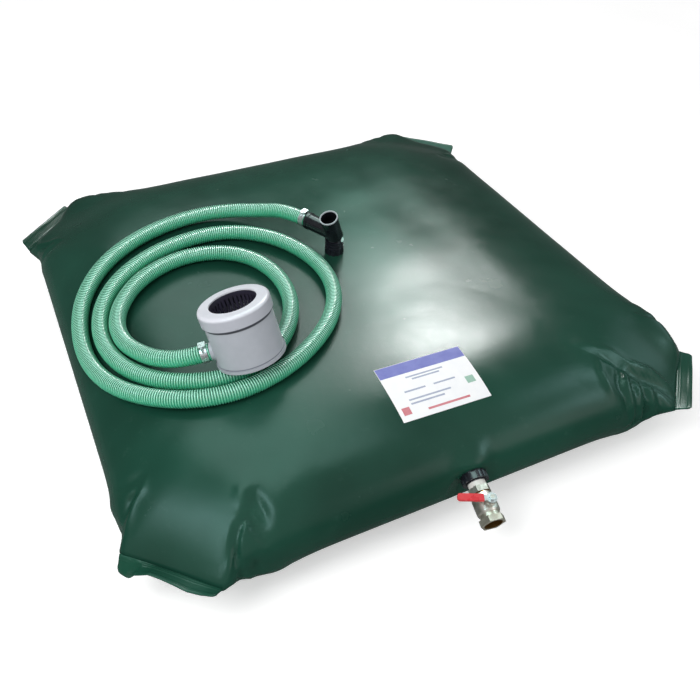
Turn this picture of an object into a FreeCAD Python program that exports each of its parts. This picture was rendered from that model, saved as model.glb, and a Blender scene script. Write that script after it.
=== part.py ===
"""Flexible water tank: an inflated pillow bag with an outlet ball valve, an inlet tee on top,
a spiral hose lying on the bag and a rainwater collector at the hose's far end.

The origin is the middle of the bag's foot on the floor. +Z is up and -Y is the valve side.
Every size is in millimetres and every angle in degrees.
"""
import FreeCAD
import Part
import math
import os
import re

from FreeCAD import Placement, Rotation, Vector

doc = FreeCAD.newDocument("flexible_water_tank")
sizes = doc.addObject("Spreadsheet::Sheet", "sizes")

SIZES = {
    # Bag
    "tank_width": 1360,
    "tank_height": 245,
    "seam_level": 122,
    "crown_run_share": 0.5,
    "foot_run_share": 0.4118,
    "corner_half": 84.7,
    "weld_panel_width": 214,
    "crown_panel_width": 122,
    "foot_panel_width": 142,
    "weld_ridge_round": 8,
    "crown_ridge_round": 41,
    "fold_step": 45,
    "fold_reach": 115,
    "fold_depth": 14,
    "flap_length": 214,
    "flap_width": 35,
    "flap_root": 20,
    "flap_thickness": 3,
    "flap_end_length": 8,
    "flap_end_width": 29,
    "front_left_droop_start": 60,
    "front_left_droop_end": -35,
    "front_right_droop_start": -24,
    "front_right_droop_end": 2,
    "back_right_droop_start": -16,
    "back_right_droop_end": -12,
    "back_left_droop_start": -40,
    "back_left_droop_end": -60,
    "skin": 3,
    # Label patch
    "label_length": 210,
    "label_depth": 148,
    "label_thickness": 0.6,
    "label_gap": 0.3,
    "label_x": 7.5,
    "label_from_front": 195.5,
    "label_turn": -1.7,
    # Clearances
    "running_clearance": 0.05,
    "screw_clearance": 0.02,
    "seat_clearance": 0.02,
    "flange_clearance": 0.3,
    "overrun": 1,
    # Wall fittings
    "gasket_thickness": 3,
    "flange_thickness": 5,
    "outlet_x": 8,
    "outlet_level": 134,
    "outlet_seat_depth": 10,
    "outlet_droop": 13,
    "outlet_swing": 8.5,
    "outlet_pad_length": 50,
    "outlet_seat_radius": 34,
    "outlet_flange_radius": 30,
    "outlet_neck_radius": 22,
    "outlet_neck_length": 20,
    "outlet_nut_radius": 27,
    "outlet_nut_height": 18,
    "nut_rib_depth": 2,
    "nut_rib_width": 6,
    "top_x": 17,
    "top_y": 36,
    "top_flange_radius": 34,
    "top_neck_radius": 20.5,
    "top_neck_length": 24,
    "top_bore_radius": 16,
    "top_nut_radius": 22.5,
    "top_nut_height": 17,
    # Nipple and ball valve
    "waterway_radius": 12.5,
    "nipple_thread_radius": 16.6,
    "nipple_reach": 13,
    "nipple_shoulder_radius": 18.8,
    "nipple_shoulder_length": 11,
    "inlet_thread_depth": 15,
    "inlet_hexagon_flats": 41,
    "inlet_hexagon_length": 13,
    "body_shoulder_length": 12,
    "body_shoulder_radius": 19,
    "body_radius": 24.5,
    "body_drum_length": 30,
    "body_rim_length": 4,
    "body_rim_radius": 22.5,
    "end_thread_radius": 21,
    "ball_radius": 18.5,
    "chamber_radius": 19.2,
    "seat_radius": 17,
    "seat_overlap": 9,
    "ball_share": 0.6,
    "seat_dish": 1.5,
    "cap_ring_length": 9,
    "cap_hexagon_flats": 48,
    "cap_hexagon_length": 13,
    "outlet_thread_radius": 19,
    "outlet_thread_depth": 15,
    # Valve stem and lever
    "stem_radius": 5.45,
    "stem_tongue_width": 5,
    "stem_tongue_length": 9,
    "stem_tongue_depth": 3.8,
    "stem_gap": 0.1,
    "boss_radius": 11,
    "boss_height": 33,
    "packing_radius": 8,
    "packing_height": 5,
    "gland_reach": 3,
    "gland_flats": 19,
    "gland_height": 5,
    "lever_level": 44,
    "lever_thickness": 3,
    "lever_hub_radius": 11,
    "lever_width": 12,
    "lever_length": 68,
    "lever_azimuth": 165,
    "lever_stud_radius": 4,
    "lever_nut_flats": 13,
    "lever_nut_height": 6,
    "sleeve_length": 52,
    "sleeve_wall": 1.5,
    "sleeve_rounding": 5.5,
    # Union and tee
    "union_seal_thickness": 2,
    "union_seal_inset": 0.5,
    "union_radius": 22.8,
    "union_ring_radius": 24,
    "union_ring_height": 3,
    "union_slack": 0.2,
    "union_height": 20,
    "union_lip": 8.8,
    "tee_flange_radius": 20.2,
    "tee_flange_thickness": 3,
    "tee_tail_radius": 18,
    "tee_bend_level": 47,
    "tee_lean": 20,
    "tee_lean_azimuth": 205.5,
    "tee_run_radius": 22.4,
    "tee_run_length": 67,
    "tee_collar_radius": 23.6,
    "tee_collar_length": 7,
    "tee_bore_radius": 14,
    "mouth_radius": 20.5,
    "mouth_depth": 40,
    "mouth_ring_thickness": 3,
    "mouth_ring_radius": 23.3,
    "branch_level": 14,
    "branch_azimuth": 115.5,
    "branch_radius": 21,
    "branch_length": 84,
    "branch_rim_radius": 22.5,
    "branch_rim_length": 8,
    # Hose, tails and clamps
    "hose_radius": 19,
    "hose_bore_radius": 16,
    "tail_length": 26,
    "tail_neck_radius": 15.2,
    "clamp_width": 15,
    "clamp_thickness": 1.2,
    "clamp_from_end": 5,
    "clamp_housing_length": 16,
    "clamp_housing_height": 6,
    "clamp_screw_radius": 2.5,
    "clamp_screw_length": 22,
    "clamp_wing_width": 12,
    "clamp_wing_thickness": 2,
    # Collector
    "collector_x": -331.5,
    "collector_y": -302,
    "collector_rise": 47,
    "collector_lean": 19.2,
    "collector_azimuth": 117.7,
    "collector_height": 130.5,
    "collector_radius": 72.8,
    "collector_wall": 3,
    "collector_foot_radius": 75.5,
    "collector_foot_height": 7,
    "cap_radius": 77,
    "cap_skirt": 30,
    "cap_rounding": 8,
    "cap_notch_width": 40,
    "cap_notch_height": 3,
    "cap_notch_offset": 50,
    "downpipe_radius": 51,
    "strainer_wall": 2,
    "strainer_slots": 36,
    "strainer_slot_width": 3,
    "strainer_slot_height": 55,
    "strainer_slot_level": 62,
    "spigot_azimuth": 162,
    "spigot_level": 34,
    "spigot_radius": 19,
    "spigot_length": 78,
}
for row, (alias, number) in enumerate(SIZES.items(), start=1):
    sizes.set("A%d" % row, alias)
    sizes.set("B%d" % row, str(number))
    sizes.setAlias("B%d" % row, alias)
doc.recompute()

# The hose's centre line as points (x, y, rise above the bag's top), between its two ends
HOSE_ROUTE = [
    (-57, 180, 60),
    (-112, 240, 39),
    (-182, 295, 25),
    (-268, 314, 20),
    (-370, 296, 20),
    (-471, 254, 16),
    (-557, 191, 3),
    (-618, 107, -18),
    (-645, 4, -34),
    (-644, -105, -33),
    (-614, -210, -16),
    (-552, -297, 4),
    (-470, -352, 16),
    (-376, -368, 19),
    (-270, -344, 20),
    (-173, -287, 20),
    (-98, -211, 20),
    (-55, -117, 20),
    (-51, -11, 20),
    (-88, 95, 20),
    (-153, 172, 20),
    (-235, 211, 20),
    (-329, 211, 20),
    (-435, 179, 19),
    (-528, 120, 8),
    (-585, 42, -6),
    (-605, -54, -14),
    (-587, -161, -6),
    (-533, -250, 7),
    (-462, -301, 17),
    (-388, -321, 20),
    (-311, -306, 20),
    (-231, -243, 20),
    (-176, -152, 20),
    (-160, -46, 20),
    (-184, 48, 20),
    (-236, 110, 20),
    (-306, 137, 20),
    (-383, 135, 20),
    (-473, 98, 16),
    (-536, 34, 6),
    (-564, -40, 5),
    (-562, -112, 10),
    (-540, -172, 22),
    (-512, -222, 36),
]
LAST_RUN = 58
ARC_SHARE = 0.45
CROWN_POWER = 2.6
HEIGHT_POWER = 2.2
CORNER_POWER = 3.2
FOOT_POWER = 2.4
UPPER_RINGS = 6
LOWER_RINGS = 4

ALONG_X = Rotation(Vector(0, 1, 0), 90)
ALONG_Y = Rotation(Vector(1, 0, 0), -90)
OUTWARD = Rotation(Vector(1, 0, 0), 90)
UPRIGHT = Rotation()


# Helpers

def size(alias):
    """A size of the sheet as a plain number."""
    return float(sizes.get(alias))


def bound(formula):
    """A formula in the sheet's own words: each name becomes a cell, functions stay."""
    return re.sub(r"\b([a-z][a-z_]*[a-z])\b(?!\()", r"sizes.\1", formula)


def bind(item, **formulas):
    for name, formula in formulas.items():
        item.setExpression(name, bound(formula))


def stand(item, x="0", y="0", z="0", turn=UPRIGHT):
    """Put an item at a place given by three formulas, turned by a rotation."""
    item.Placement = Placement(Vector(), turn)
    item.setExpression("Placement.Base.x", bound(x))
    item.setExpression("Placement.Base.y", bound(y))
    item.setExpression("Placement.Base.z", bound(z))
    return item


def rod(name, radius, length, start="0"):
    """A round bar on the local Z axis."""
    item = doc.addObject("Part::Cylinder", name)
    bind(item, Radius=radius, Height=length)
    return stand(item, z=start)


def taper(name, low_radius, high_radius, length, start="0"):
    """A cone on the local Z axis."""
    item = doc.addObject("Part::Cone", name)
    bind(item, Radius1=low_radius, Radius2=high_radius, Height=length)
    return stand(item, z=start)


def hexagon(name, flats, length, start="0"):
    """A hexagonal bar on the local Z axis, sized across its flats."""
    item = doc.addObject("Part::Prism", name)
    item.Polygon = 6
    bind(item, Circumradius="(%s) / sqrt(3)" % flats, Height=length)
    return stand(item, z=start)


def block(name, lengths, corner):
    """A box from its three lengths and its lowest corner."""
    item = doc.addObject("Part::Box", name)
    bind(item, Length=lengths[0], Width=lengths[1], Height=lengths[2])
    return stand(item, *corner)


def ball(name, radius, height="0"):
    item = doc.addObject("Part::Sphere", name)
    bind(item, Radius=radius)
    return stand(item, z=height)


def joined(name, *pieces):
    """The pieces fused; a single piece is only wrapped, so that it can be placed once more."""
    if len(pieces) == 1:
        item = doc.addObject("Part::Compound", name)
        item.Links = list(pieces)
        return item
    item = doc.addObject("Part::MultiFuse", name)
    item.Shapes = list(pieces)
    return item


def less(name, base, *tools):
    """The base with the tools cut out of it."""
    item = doc.addObject("Part::Cut", name)
    item.Base = base
    item.Tool = tools[0] if len(tools) == 1 else joined(name + "_voids", *tools)
    return item


def ring(name, outer, inner, length, start="0"):
    """A round ring on the local Z axis, its hole run past both faces."""
    hole = rod(name + "_hole", inner, "(%s) + 2 * overrun" % length, "(%s) - overrun" % start)
    return less(name, rod(name + "_blank", outer, length, start), hole)


def rounded(name, base, radius, picks):
    """The base with a radius on each edge that picks accepts."""
    doc.recompute()
    item = doc.addObject("Part::Fillet", name)
    item.Base = base
    edges = enumerate(base.Shape.Edges, start=1)
    item.Edges = [(number, radius, radius) for number, edge in edges if picks(edge)]
    return item


def is_circle(edge, radius, height):
    curve = edge.Curve
    if not isinstance(curve, Part.Circle):
        return False
    return abs(curve.Radius - radius) < 0.01 and abs(curve.Center.z - height) < 0.01


def around(azimuth, lean=90.0):
    """The direction that leans by an angle from upright towards an azimuth."""
    flat = math.sin(math.radians(lean))
    turn = math.radians(azimuth)
    return Vector(flat * math.cos(turn), flat * math.sin(turn), math.cos(math.radians(lean)))


def along(direction):
    """The rotation that lays the local Z axis along a direction, with local Y kept upward."""
    side = Vector(0, 0, 1).cross(direction)
    up = direction.cross(side)
    return Rotation(side, up, direction, "ZYX")


# Bag: two lofts of folded rings that meet at the weld

HALF = size("tank_width") / 2
HEIGHT = size("tank_height")
SEAM = size("seam_level")
WELD_CORNER = math.sqrt(2) * HALF - size("corner_half")
CROWN_RUN = HALF * size("crown_run_share")
FOOT_RUN = HALF * size("foot_run_share")


def pressed_side(points, first_way, last_way):
    """A smooth curve through the points, with its ways at the first and the last."""
    curve = Part.BSplineCurve()
    curve.interpolate(Points=points, InitialTangent=first_way, FinalTangent=last_way)
    return curve.toShape()


def folded_ring(half, corner, panel, dent, rounding, level):
    """A closed outline of four sides and four blunt corners.

    half is the distance to a side and corner the distance to a corner's panel along the
    diagonal. A ridge bounds the panel at each of its edges, and beside the ridge the side is
    pressed in by dent.
    """
    ridge = Vector(corner + panel / 2, corner - panel / 2, 0) / math.sqrt(2)
    middle = Vector(corner, corner, 0) / math.sqrt(2)
    side_end = Vector(half, ridge.y - rounding - size("fold_reach"), 0)
    valley = Vector(half - dent, ridge.y - rounding - size("fold_step"), 0)
    arriving = (ridge - valley).normalize()
    leaving = (middle - ridge).normalize()
    before = ridge - arriving * rounding
    after = ridge + leaving * rounding
    bend = arriving.getAngle(leaving)
    sagitta = rounding / math.tan(bend / 2) * (1 / math.cos(bend / 2) - 1)
    crest = ridge + (leaving - arriving).normalize() * sagitta
    flank = [side_end, valley, before, crest, after]
    ways = [Vector(0, 1, 0), arriving, Vector(-arriving.y, -arriving.x, 0), Vector(-1, 0, 0)]
    edges = []
    for quarter in range(4):
        turn = Placement(Vector(0, 0, level), Rotation(Vector(0, 0, 1), 90 * quarter))
        near = [turn.multVec(point) for point in flank]
        far = [turn.multVec(Vector(point.y, point.x, 0)) for point in flank]
        turned = [turn.Rotation.multVec(way) for way in ways]
        next_side = turn.multVec(Vector(-side_end.y, half, 0))
        edges += [pressed_side(near[:3], turned[0], turned[1]),
                  Part.Arc(*near[2:]).toShape(),
                  Part.LineSegment(near[-1], far[-1]).toShape(),
                  Part.Arc(*far[:1:-1]).toShape(),
                  pressed_side(far[2::-1], turned[2], turned[3]),
                  Part.LineSegment(far[0], next_side).toShape()]
    return Part.Wire(edges)


def blend(first, last, share):
    return first + (last - first) * share


def upper_ring(step):
    """Ring number step above the weld, from 0 at the weld to UPPER_RINGS at the flat crown."""
    angle = math.pi / 2 * step / UPPER_RINGS
    flat_half = HALF - CROWN_RUN
    rise = math.sin(angle) ** (2 / HEIGHT_POWER)
    spread = math.cos(angle) ** (2 / CROWN_POWER) if step < UPPER_RINGS else 0
    half = flat_half + CROWN_RUN * spread
    crown_corner = math.sqrt(2) * flat_half - size("crown_panel_width") / 2
    corner = blend(crown_corner, WELD_CORNER, max(1 - rise, 0) ** (1 / CORNER_POWER))
    panel = blend(size("weld_panel_width"), size("crown_panel_width"), rise)
    rounding = blend(size("weld_ridge_round"), size("crown_ridge_round"), rise)
    dent = size("fold_depth") * max(1 - rise ** 2, 0)
    return folded_ring(half, corner, panel, dent, rounding, blend(SEAM, HEIGHT, rise))


def lower_ring(step):
    """Ring number step below the weld, from 0 at the weld to LOWER_RINGS at the foot."""
    angle = math.pi / 2 * step / LOWER_RINGS
    flat_half = HALF - FOOT_RUN
    drop = math.sin(angle) ** (2 / HEIGHT_POWER)
    spread = math.cos(angle) ** (2 / FOOT_POWER) if step < LOWER_RINGS else 0
    half = flat_half + FOOT_RUN * spread
    foot_corner = math.sqrt(2) * flat_half - size("foot_panel_width") / 2
    corner = blend(foot_corner, WELD_CORNER, math.sqrt(max(1 - drop, 0)))
    panel = blend(size("weld_panel_width"), size("foot_panel_width"), drop)
    rounding = blend(size("weld_ridge_round"), size("crown_ridge_round"), drop)
    dent = size("fold_depth") * max(1 - drop, 0)
    return folded_ring(half, corner, panel, dent, rounding, SEAM * (1 - drop))


def flap_section(place, width, droop):
    """A flap's outline across its length: its root, and its free part turned down by droop."""
    root = size("flap_root")
    lift = Vector(0, 0, size("flap_thickness") / 2)
    hinge = Vector(0, place, 0)
    turned = math.radians(droop)
    tip = hinge + Vector(math.cos(turned), 0, -math.sin(turned)) * width
    across = Vector(math.sin(turned), 0, math.cos(turned)) * size("flap_thickness") / 2
    inner = hinge - Vector(root, 0, 0)
    corners = [inner - lift, hinge - lift, tip - across, tip + across, hinge + lift, inner + lift]
    return Part.makePolygon(corners + corners[:1])


def weld_flap(corner, azimuth):
    """The welded double edge outside a blunt corner, twisted from one end to the other."""
    reach = size("flap_length") / 2
    straight = reach - size("flap_end_length")
    first = size(corner + "_droop_start")
    last = size(corner + "_droop_end")
    sections = []
    for place, width in ((-reach, size("flap_end_width")), (-straight, size("flap_width")),
                         (straight, size("flap_width")), (reach, size("flap_end_width"))):
        share = (place + reach) / (2 * reach)
        sections.append(flap_section(place, width, blend(first, last, share)))
    flap = Part.makeLoft(sections, True, True)
    flap.translate(Vector(WELD_CORNER, 0, SEAM))
    flap.rotate(Vector(), Vector(0, 0, 1), azimuth)
    return flap


CORNERS = {"back_right": 45, "back_left": 135, "front_left": 225, "front_right": 315}
upper = Part.makeLoft([upper_ring(step) for step in range(UPPER_RINGS + 1)], True)
lower = Part.makeLoft([lower_ring(step) for step in range(LOWER_RINGS + 1)], True)
flaps = [weld_flap(corner, azimuth) for corner, azimuth in CORNERS.items()]
pillow = upper.fuse([lower] + flaps)
bag_blank = doc.addObject("Part::Feature", "bag_blank")
bag_blank.Shape = pillow

# Inner depth of a wall fitting: skin, gasket and flange, from the seat inward
INNER_DEPTH = "(skin + gasket_thickness + flange_thickness)"
# The valve's weight turns the outlet down, and a little to the left
OUTLET_TURN = (Rotation(Vector(0, 0, 1), -size("outlet_swing"))
               * Rotation(Vector(1, 0, 0), size("outlet_droop")) * OUTWARD)
OUTLET_SEAT = ("outlet_x", "outlet_seat_depth - tank_width / 2", "outlet_level", OUTLET_TURN)
TOP_SEAT = ("top_x", "top_y", "tank_height")


def fitting_cavity(name, flange_radius, neck_radius):
    """The room that a wall fitting's flange, gasket and neck take in the bag."""
    room = rod(name + "_room", flange_radius + " + flange_clearance",
               "flange_thickness + gasket_thickness", "-" + INNER_DEPTH)
    hole = rod(name + "_hole", neck_radius + " + running_clearance",
               "skin + overrun", "-skin")
    return joined(name, room, hole)


outlet_pad = rod("outlet_pad", "outlet_seat_radius", "outlet_pad_length", "-outlet_pad_length")
outlet_pad_placed = stand(joined("outlet_pad_placed", outlet_pad), *OUTLET_SEAT)
outlet_trim = rod("outlet_trim", "outlet_seat_radius", "outlet_pad_length")
outlet_trim_placed = stand(joined("outlet_trim_placed", outlet_trim), *OUTLET_SEAT)
outlet_cavity = stand(fitting_cavity("outlet_cavity", "outlet_flange_radius", "outlet_neck_radius"),
                      *OUTLET_SEAT)
top_cavity = stand(fitting_cavity("top_cavity", "top_flange_radius", "top_neck_radius"), *TOP_SEAT)
padded = joined("bag_with_pad", bag_blank, outlet_pad_placed)
less("tank_envelope", padded, outlet_trim_placed, outlet_cavity, top_cavity)


# Label: a thin patch that follows the front slope of the crown

def crown_height(y):
    """The crown's height at a distance y from the middle plane, on the bag's own surface."""
    place = Vector(size("label_x"), y, 0)
    upright = Part.makeLine(place, place + Vector(0, 0, 2 * HEIGHT))
    return upper.section(upright).Vertexes[0].Z


def label_strip():
    middle = -HALF + size("label_from_front")
    reach = size("label_depth") / 2 + 8 * size("overrun")
    length = size("label_length") / 2 + 8 * size("overrun")
    places = [middle + reach * share for share in (-1, -0.75, -0.5, -0.25, 0, 0.25, 0.5, 0.75, 1)]
    low = [Vector(-length, y, crown_height(y) + size("label_gap")) for y in places]
    high = [point + Vector(0, 0, size("label_thickness")) for point in low]
    bottom = Part.BSplineCurve()
    bottom.interpolate(low)
    top = Part.BSplineCurve()
    top.interpolate(high)
    ends = [Part.LineSegment(low[0], high[0]), Part.LineSegment(low[-1], high[-1])]
    outline = Part.Wire(Part.sortEdges([curve.toShape() for curve in [bottom, top] + ends])[0])
    return Part.Face(outline).extrude(Vector(2 * length, 0, 0))


strip = doc.addObject("Part::Feature", "label_strip")
strip.Shape = label_strip()
strip.Placement = Placement(Vector(size("label_x"), 0, 0), Rotation())
window = block("label_window", ("label_length", "label_depth", "tank_height"),
               ("-label_length / 2", "-label_depth / 2", "0"))
window_placed = stand(joined("label_window_placed", window), "label_x",
                      "label_from_front - tank_width / 2", "tank_height / 2",
                      Rotation(Vector(0, 0, 1), size("label_turn")))
label = doc.addObject("Part::Common", "label_plate")
label.Base = strip
label.Tool = window_placed


# Outlet wall fitting, on an axis that points away from the bag

def ribbed_nut(name, radius, height, bore):
    """A ring nut with twelve grip ribs."""
    ribs = []
    for number in range(12):
        rib = block("%s_rib_%d" % (name, number),
                    (radius + " + nut_rib_depth", "nut_rib_width", height),
                    ("0", "-nut_rib_width / 2", "0"))
        ribs.append(stand(joined("%s_turned_%d" % (name, number), rib),
                          turn=Rotation(Vector(0, 0, 1), 30 * number)))
    blank = joined(name + "_blank", rod(name + "_ring", radius, height), *ribs)
    crest = rod(name + "_crest", radius + " + nut_rib_depth", height)
    grip = doc.addObject("Part::Common", name + "_grip")
    grip.Base = blank
    grip.Tool = crest
    return less(name, grip, rod(name + "_bore", bore, height + " + 2 * overrun", "-overrun"))


def wall_fitting(prefix, seat, waterway, socket=None):
    """A flanged neck, its gasket and its ring nut, seated on the bag's wall."""
    neck = prefix + "_neck_radius"
    flange = rod(prefix + "_flange", prefix + "_flange_radius", "flange_thickness",
                 "-" + INNER_DEPTH)
    pipe = rod(prefix + "_neck", neck, "%s + %s_neck_length" % (INNER_DEPTH, prefix),
               "-" + INNER_DEPTH)
    bore = rod(prefix + "_bore", waterway,
               "%s + %s_neck_length + 2 * overrun" % (INNER_DEPTH, prefix),
               "-%s - overrun" % INNER_DEPTH)
    voids = [bore] + ([socket] if socket else [])
    bulkhead = less(prefix + "_bulkhead", joined(prefix + "_casting", flange, pipe), *voids)
    gasket = ring(prefix + "_gasket", prefix + "_flange_radius", neck + " + running_clearance",
                  "gasket_thickness", "-skin - gasket_thickness")
    nut = ribbed_nut(prefix + "_nut", prefix + "_nut_radius", prefix + "_nut_height",
                     neck + " + screw_clearance")
    for item in (bulkhead, gasket, nut):
        stand(item, *seat)


nipple_socket = rod("nipple_socket", "nipple_thread_radius + running_clearance",
                    "nipple_reach + overrun", "outlet_neck_length - nipple_reach")
wall_fitting("outlet", OUTLET_SEAT, "waterway_radius", nipple_socket)
wall_fitting("top", TOP_SEAT, "top_bore_radius")

# Distances from the outlet seat along the pipe
NIPPLE_END = "outlet_neck_length"
VALVE_START = "(outlet_neck_length + nipple_shoulder_length)"
SHOULDER_START = "(%s + inlet_hexagon_length)" % VALVE_START
DRUM_START = "(%s + body_shoulder_length)" % SHOULDER_START
RIM_START = "(%s + body_drum_length)" % DRUM_START
BODY_END = "(%s + body_rim_length)" % RIM_START
CAP_THREAD = "(2 * body_rim_length)"
CAP_START = "(%s - %s)" % (BODY_END, CAP_THREAD)
CAP_HEXAGON_START = "(%s + cap_ring_length)" % BODY_END
VALVE_END = "(%s + cap_hexagon_length)" % CAP_HEXAGON_START
BALL_PLACE = "(%s + body_drum_length * ball_share)" % DRUM_START
SEAT_REACH = "(ball_radius - seat_dish)"
POCKET_START = "(%s - %s)" % (BALL_PLACE, SEAT_REACH)
POCKET_END = "(%s + %s)" % (BALL_PLACE, SEAT_REACH)

nipple = less(
    "outlet_nipple",
    joined("nipple_stock",
           rod("nipple_inner_end", "nipple_thread_radius", "nipple_reach",
               "%s - nipple_reach" % NIPPLE_END),
           rod("nipple_shoulder", "nipple_shoulder_radius", "nipple_shoulder_length", NIPPLE_END),
           rod("nipple_outer_end", "nipple_thread_radius", "inlet_thread_depth", VALVE_START)),
    rod("nipple_bore", "waterway_radius",
        "nipple_reach + nipple_shoulder_length + inlet_thread_depth + 2 * overrun",
        "%s - nipple_reach - overrun" % NIPPLE_END))
stand(nipple, *OUTLET_SEAT)


# Ball valve

def seat_pocket(name, start, length):
    return rod(name, "seat_radius + running_clearance", length, start)


valve_casting = joined(
    "valve_casting",
    hexagon("inlet_hexagon", "inlet_hexagon_flats", "inlet_hexagon_length", VALVE_START),
    taper("body_shoulder", "body_shoulder_radius", "body_radius", "body_shoulder_length",
          SHOULDER_START),
    rod("body_drum", "body_radius", "body_drum_length", DRUM_START),
    taper("body_rim", "body_radius", "body_rim_radius", "body_rim_length", RIM_START),
    stand(rod("stem_boss", "boss_radius", "boss_height"), z=BALL_PLACE, turn=ALONG_Y))
valve_body = less(
    "valve_body", valve_casting,
    rod("inlet_thread", "nipple_thread_radius + running_clearance",
        "inlet_thread_depth + overrun", "%s - overrun" % VALVE_START),
    rod("body_waterway", "waterway_radius", BODY_END, VALVE_START),
    seat_pocket("inner_seat_pocket", POCKET_START, SEAT_REACH),
    rod("ball_chamber", "chamber_radius", "%s - %s + ball_radius - seat_overlap"
        % (CAP_START, BALL_PLACE), "%s - ball_radius + seat_overlap" % BALL_PLACE),
    rod("end_thread", "end_thread_radius + screw_clearance", CAP_THREAD + " + overrun",
        CAP_START),
    stand(rod("stem_bore", "stem_radius + running_clearance", "boss_height + overrun"),
          z=BALL_PLACE, turn=ALONG_Y),
    stand(rod("packing_pocket", "packing_radius + screw_clearance", "boss_height"),
          y="boss_height - gland_reach - packing_height", z=BALL_PLACE, turn=ALONG_Y))
stand(valve_body, *OUTLET_SEAT)

end_cap = less(
    "valve_end_cap",
    joined("end_cap_stock",
           rod("end_cap_spigot", "end_thread_radius", CAP_THREAD, CAP_START),
           rod("end_cap_ring", "end_thread_radius", "cap_ring_length", BODY_END),
           hexagon("end_cap_hexagon", "cap_hexagon_flats", "cap_hexagon_length",
                   CAP_HEXAGON_START)),
    seat_pocket("outer_seat_pocket", "%s - overrun" % CAP_START,
                "%s - %s + overrun" % (POCKET_END, CAP_START)),
    rod("end_cap_waterway", "waterway_radius", "%s - %s + overrun" % (VALVE_END, CAP_START),
        CAP_START),
    rod("outlet_thread", "outlet_thread_radius", "outlet_thread_depth + overrun",
        "%s - outlet_thread_depth" % VALVE_END))
stand(end_cap, *OUTLET_SEAT)

seat_rings = joined(
    "seat_rings",
    ring("inner_seat", "seat_radius", "waterway_radius", "seat_overlap", POCKET_START),
    ring("outer_seat", "seat_radius", "waterway_radius", "seat_overlap",
         "%s - seat_overlap" % POCKET_END))
ball_seats = less("ball_seats", seat_rings,
                  ball("seat_hollow", "ball_radius + seat_clearance", BALL_PLACE))
stand(ball_seats, *OUTLET_SEAT)

# Everything on the stem turns about an axis through the ball, square to the pipe; local X is
# the lever's way
STEM_TURN = OUTLET_TURN * ALONG_Y
STEM_AXIS = ("outlet_x - sin(outlet_swing) * cos(outlet_droop) * %s" % BALL_PLACE,
             "outlet_seat_depth - tank_width / 2 - cos(outlet_swing) * cos(outlet_droop) * %s"
             % BALL_PLACE,
             "outlet_level - sin(outlet_droop) * %s" % BALL_PLACE)
LEVER_TURN = STEM_TURN * Rotation(Vector(0, 0, 1), size("lever_azimuth"))
TONGUE_TOP = "(ball_radius + stem_gap)"

ball_bore = stand(rod("ball_bore", "waterway_radius", "2 * (ball_radius + overrun)"),
                  x="-ball_radius - overrun", turn=ALONG_X)
ball_slot = block("ball_slot",
                  ("stem_tongue_width + 2 * seat_clearance", "2 * ball_radius", "ball_radius"),
                  ("-stem_tongue_width / 2 - seat_clearance", "-ball_radius",
                   "%s - stem_tongue_depth - seat_clearance" % TONGUE_TOP))
valve_ball = less("valve_ball", ball("ball_stock", "ball_radius"), ball_bore, ball_slot)

tongue = doc.addObject("Part::Common", "stem_tongue")
tongue.Base = block("stem_tongue_stock",
                    ("stem_tongue_width", "stem_tongue_length", "stem_tongue_depth"),
                    ("-stem_tongue_width / 2", "-stem_tongue_length / 2",
                     "%s - stem_tongue_depth" % TONGUE_TOP))
tongue.Tool = rod("stem_tongue_round", "stem_radius", "2 * ball_radius")
LEVER_TOP = "(lever_level + lever_thickness)"
valve_stem = joined(
    "valve_stem", tongue,
    rod("stem_shaft", "stem_radius", "lever_level - %s" % TONGUE_TOP, TONGUE_TOP),
    rod("stem_stud", "lever_stud_radius", "lever_thickness + lever_nut_height + overrun",
        "lever_level"))

packing = ring("stem_packing", "packing_radius", "stem_radius + running_clearance",
               "packing_height", "boss_height - gland_reach - packing_height")
gland_nut = less(
    "gland_nut",
    joined("gland_stock",
           rod("gland_spigot", "packing_radius", "gland_reach", "boss_height - gland_reach"),
           hexagon("gland_hexagon", "gland_flats", "gland_height", "boss_height")),
    rod("gland_bore", "stem_radius + running_clearance",
        "gland_height + gland_reach + 2 * overrun", "boss_height - gland_reach - overrun"))

lever_hole = rod("lever_hole", "lever_stud_radius + screw_clearance", "2 * lever_level")
lever_arm = block("lever_arm", ("lever_length", "lever_width", "lever_thickness"),
                  ("0", "-lever_width / 2", "lever_level"))
valve_lever = less(
    "valve_lever",
    joined("lever_stock", rod("lever_hub", "lever_hub_radius", "lever_thickness", "lever_level"),
           lever_arm),
    lever_hole)
sleeve_blank = block(
    "sleeve_blank",
    ("sleeve_length + sleeve_wall", "lever_width + 2 * sleeve_wall",
     "lever_thickness + 2 * sleeve_wall"),
    ("lever_length - sleeve_length", "-lever_width / 2 - sleeve_wall",
     "lever_level - sleeve_wall"))


def is_far_upright(edge):
    """The sleeve's two upright edges at the lever's tip."""
    return edge.BoundBox.ZLength > size("overrun") and edge.CenterOfMass.x > size("lever_length")


sleeve_round = rounded("sleeve_round", sleeve_blank, size("sleeve_rounding"), is_far_upright)
sleeve = less("lever_sleeve", sleeve_round,
              block("sleeve_pocket", ("lever_length", "lever_width", "lever_thickness"),
                    ("0", "-lever_width / 2", "lever_level")))
lever_nut = less("lever_nut",
                 hexagon("lever_nut_stock", "lever_nut_flats", "lever_nut_height", LEVER_TOP),
                 rod("lever_nut_bore", "lever_stud_radius + screw_clearance",
                     "lever_nut_height + 2 * overrun", LEVER_TOP + " - overrun"))
for item in (packing, gland_nut):
    stand(item, *STEM_AXIS, STEM_TURN)
for item in (valve_ball, valve_stem, valve_lever, sleeve, lever_nut):
    stand(item, *STEM_AXIS, LEVER_TURN)


# Union and tee, above the top fitting

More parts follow.
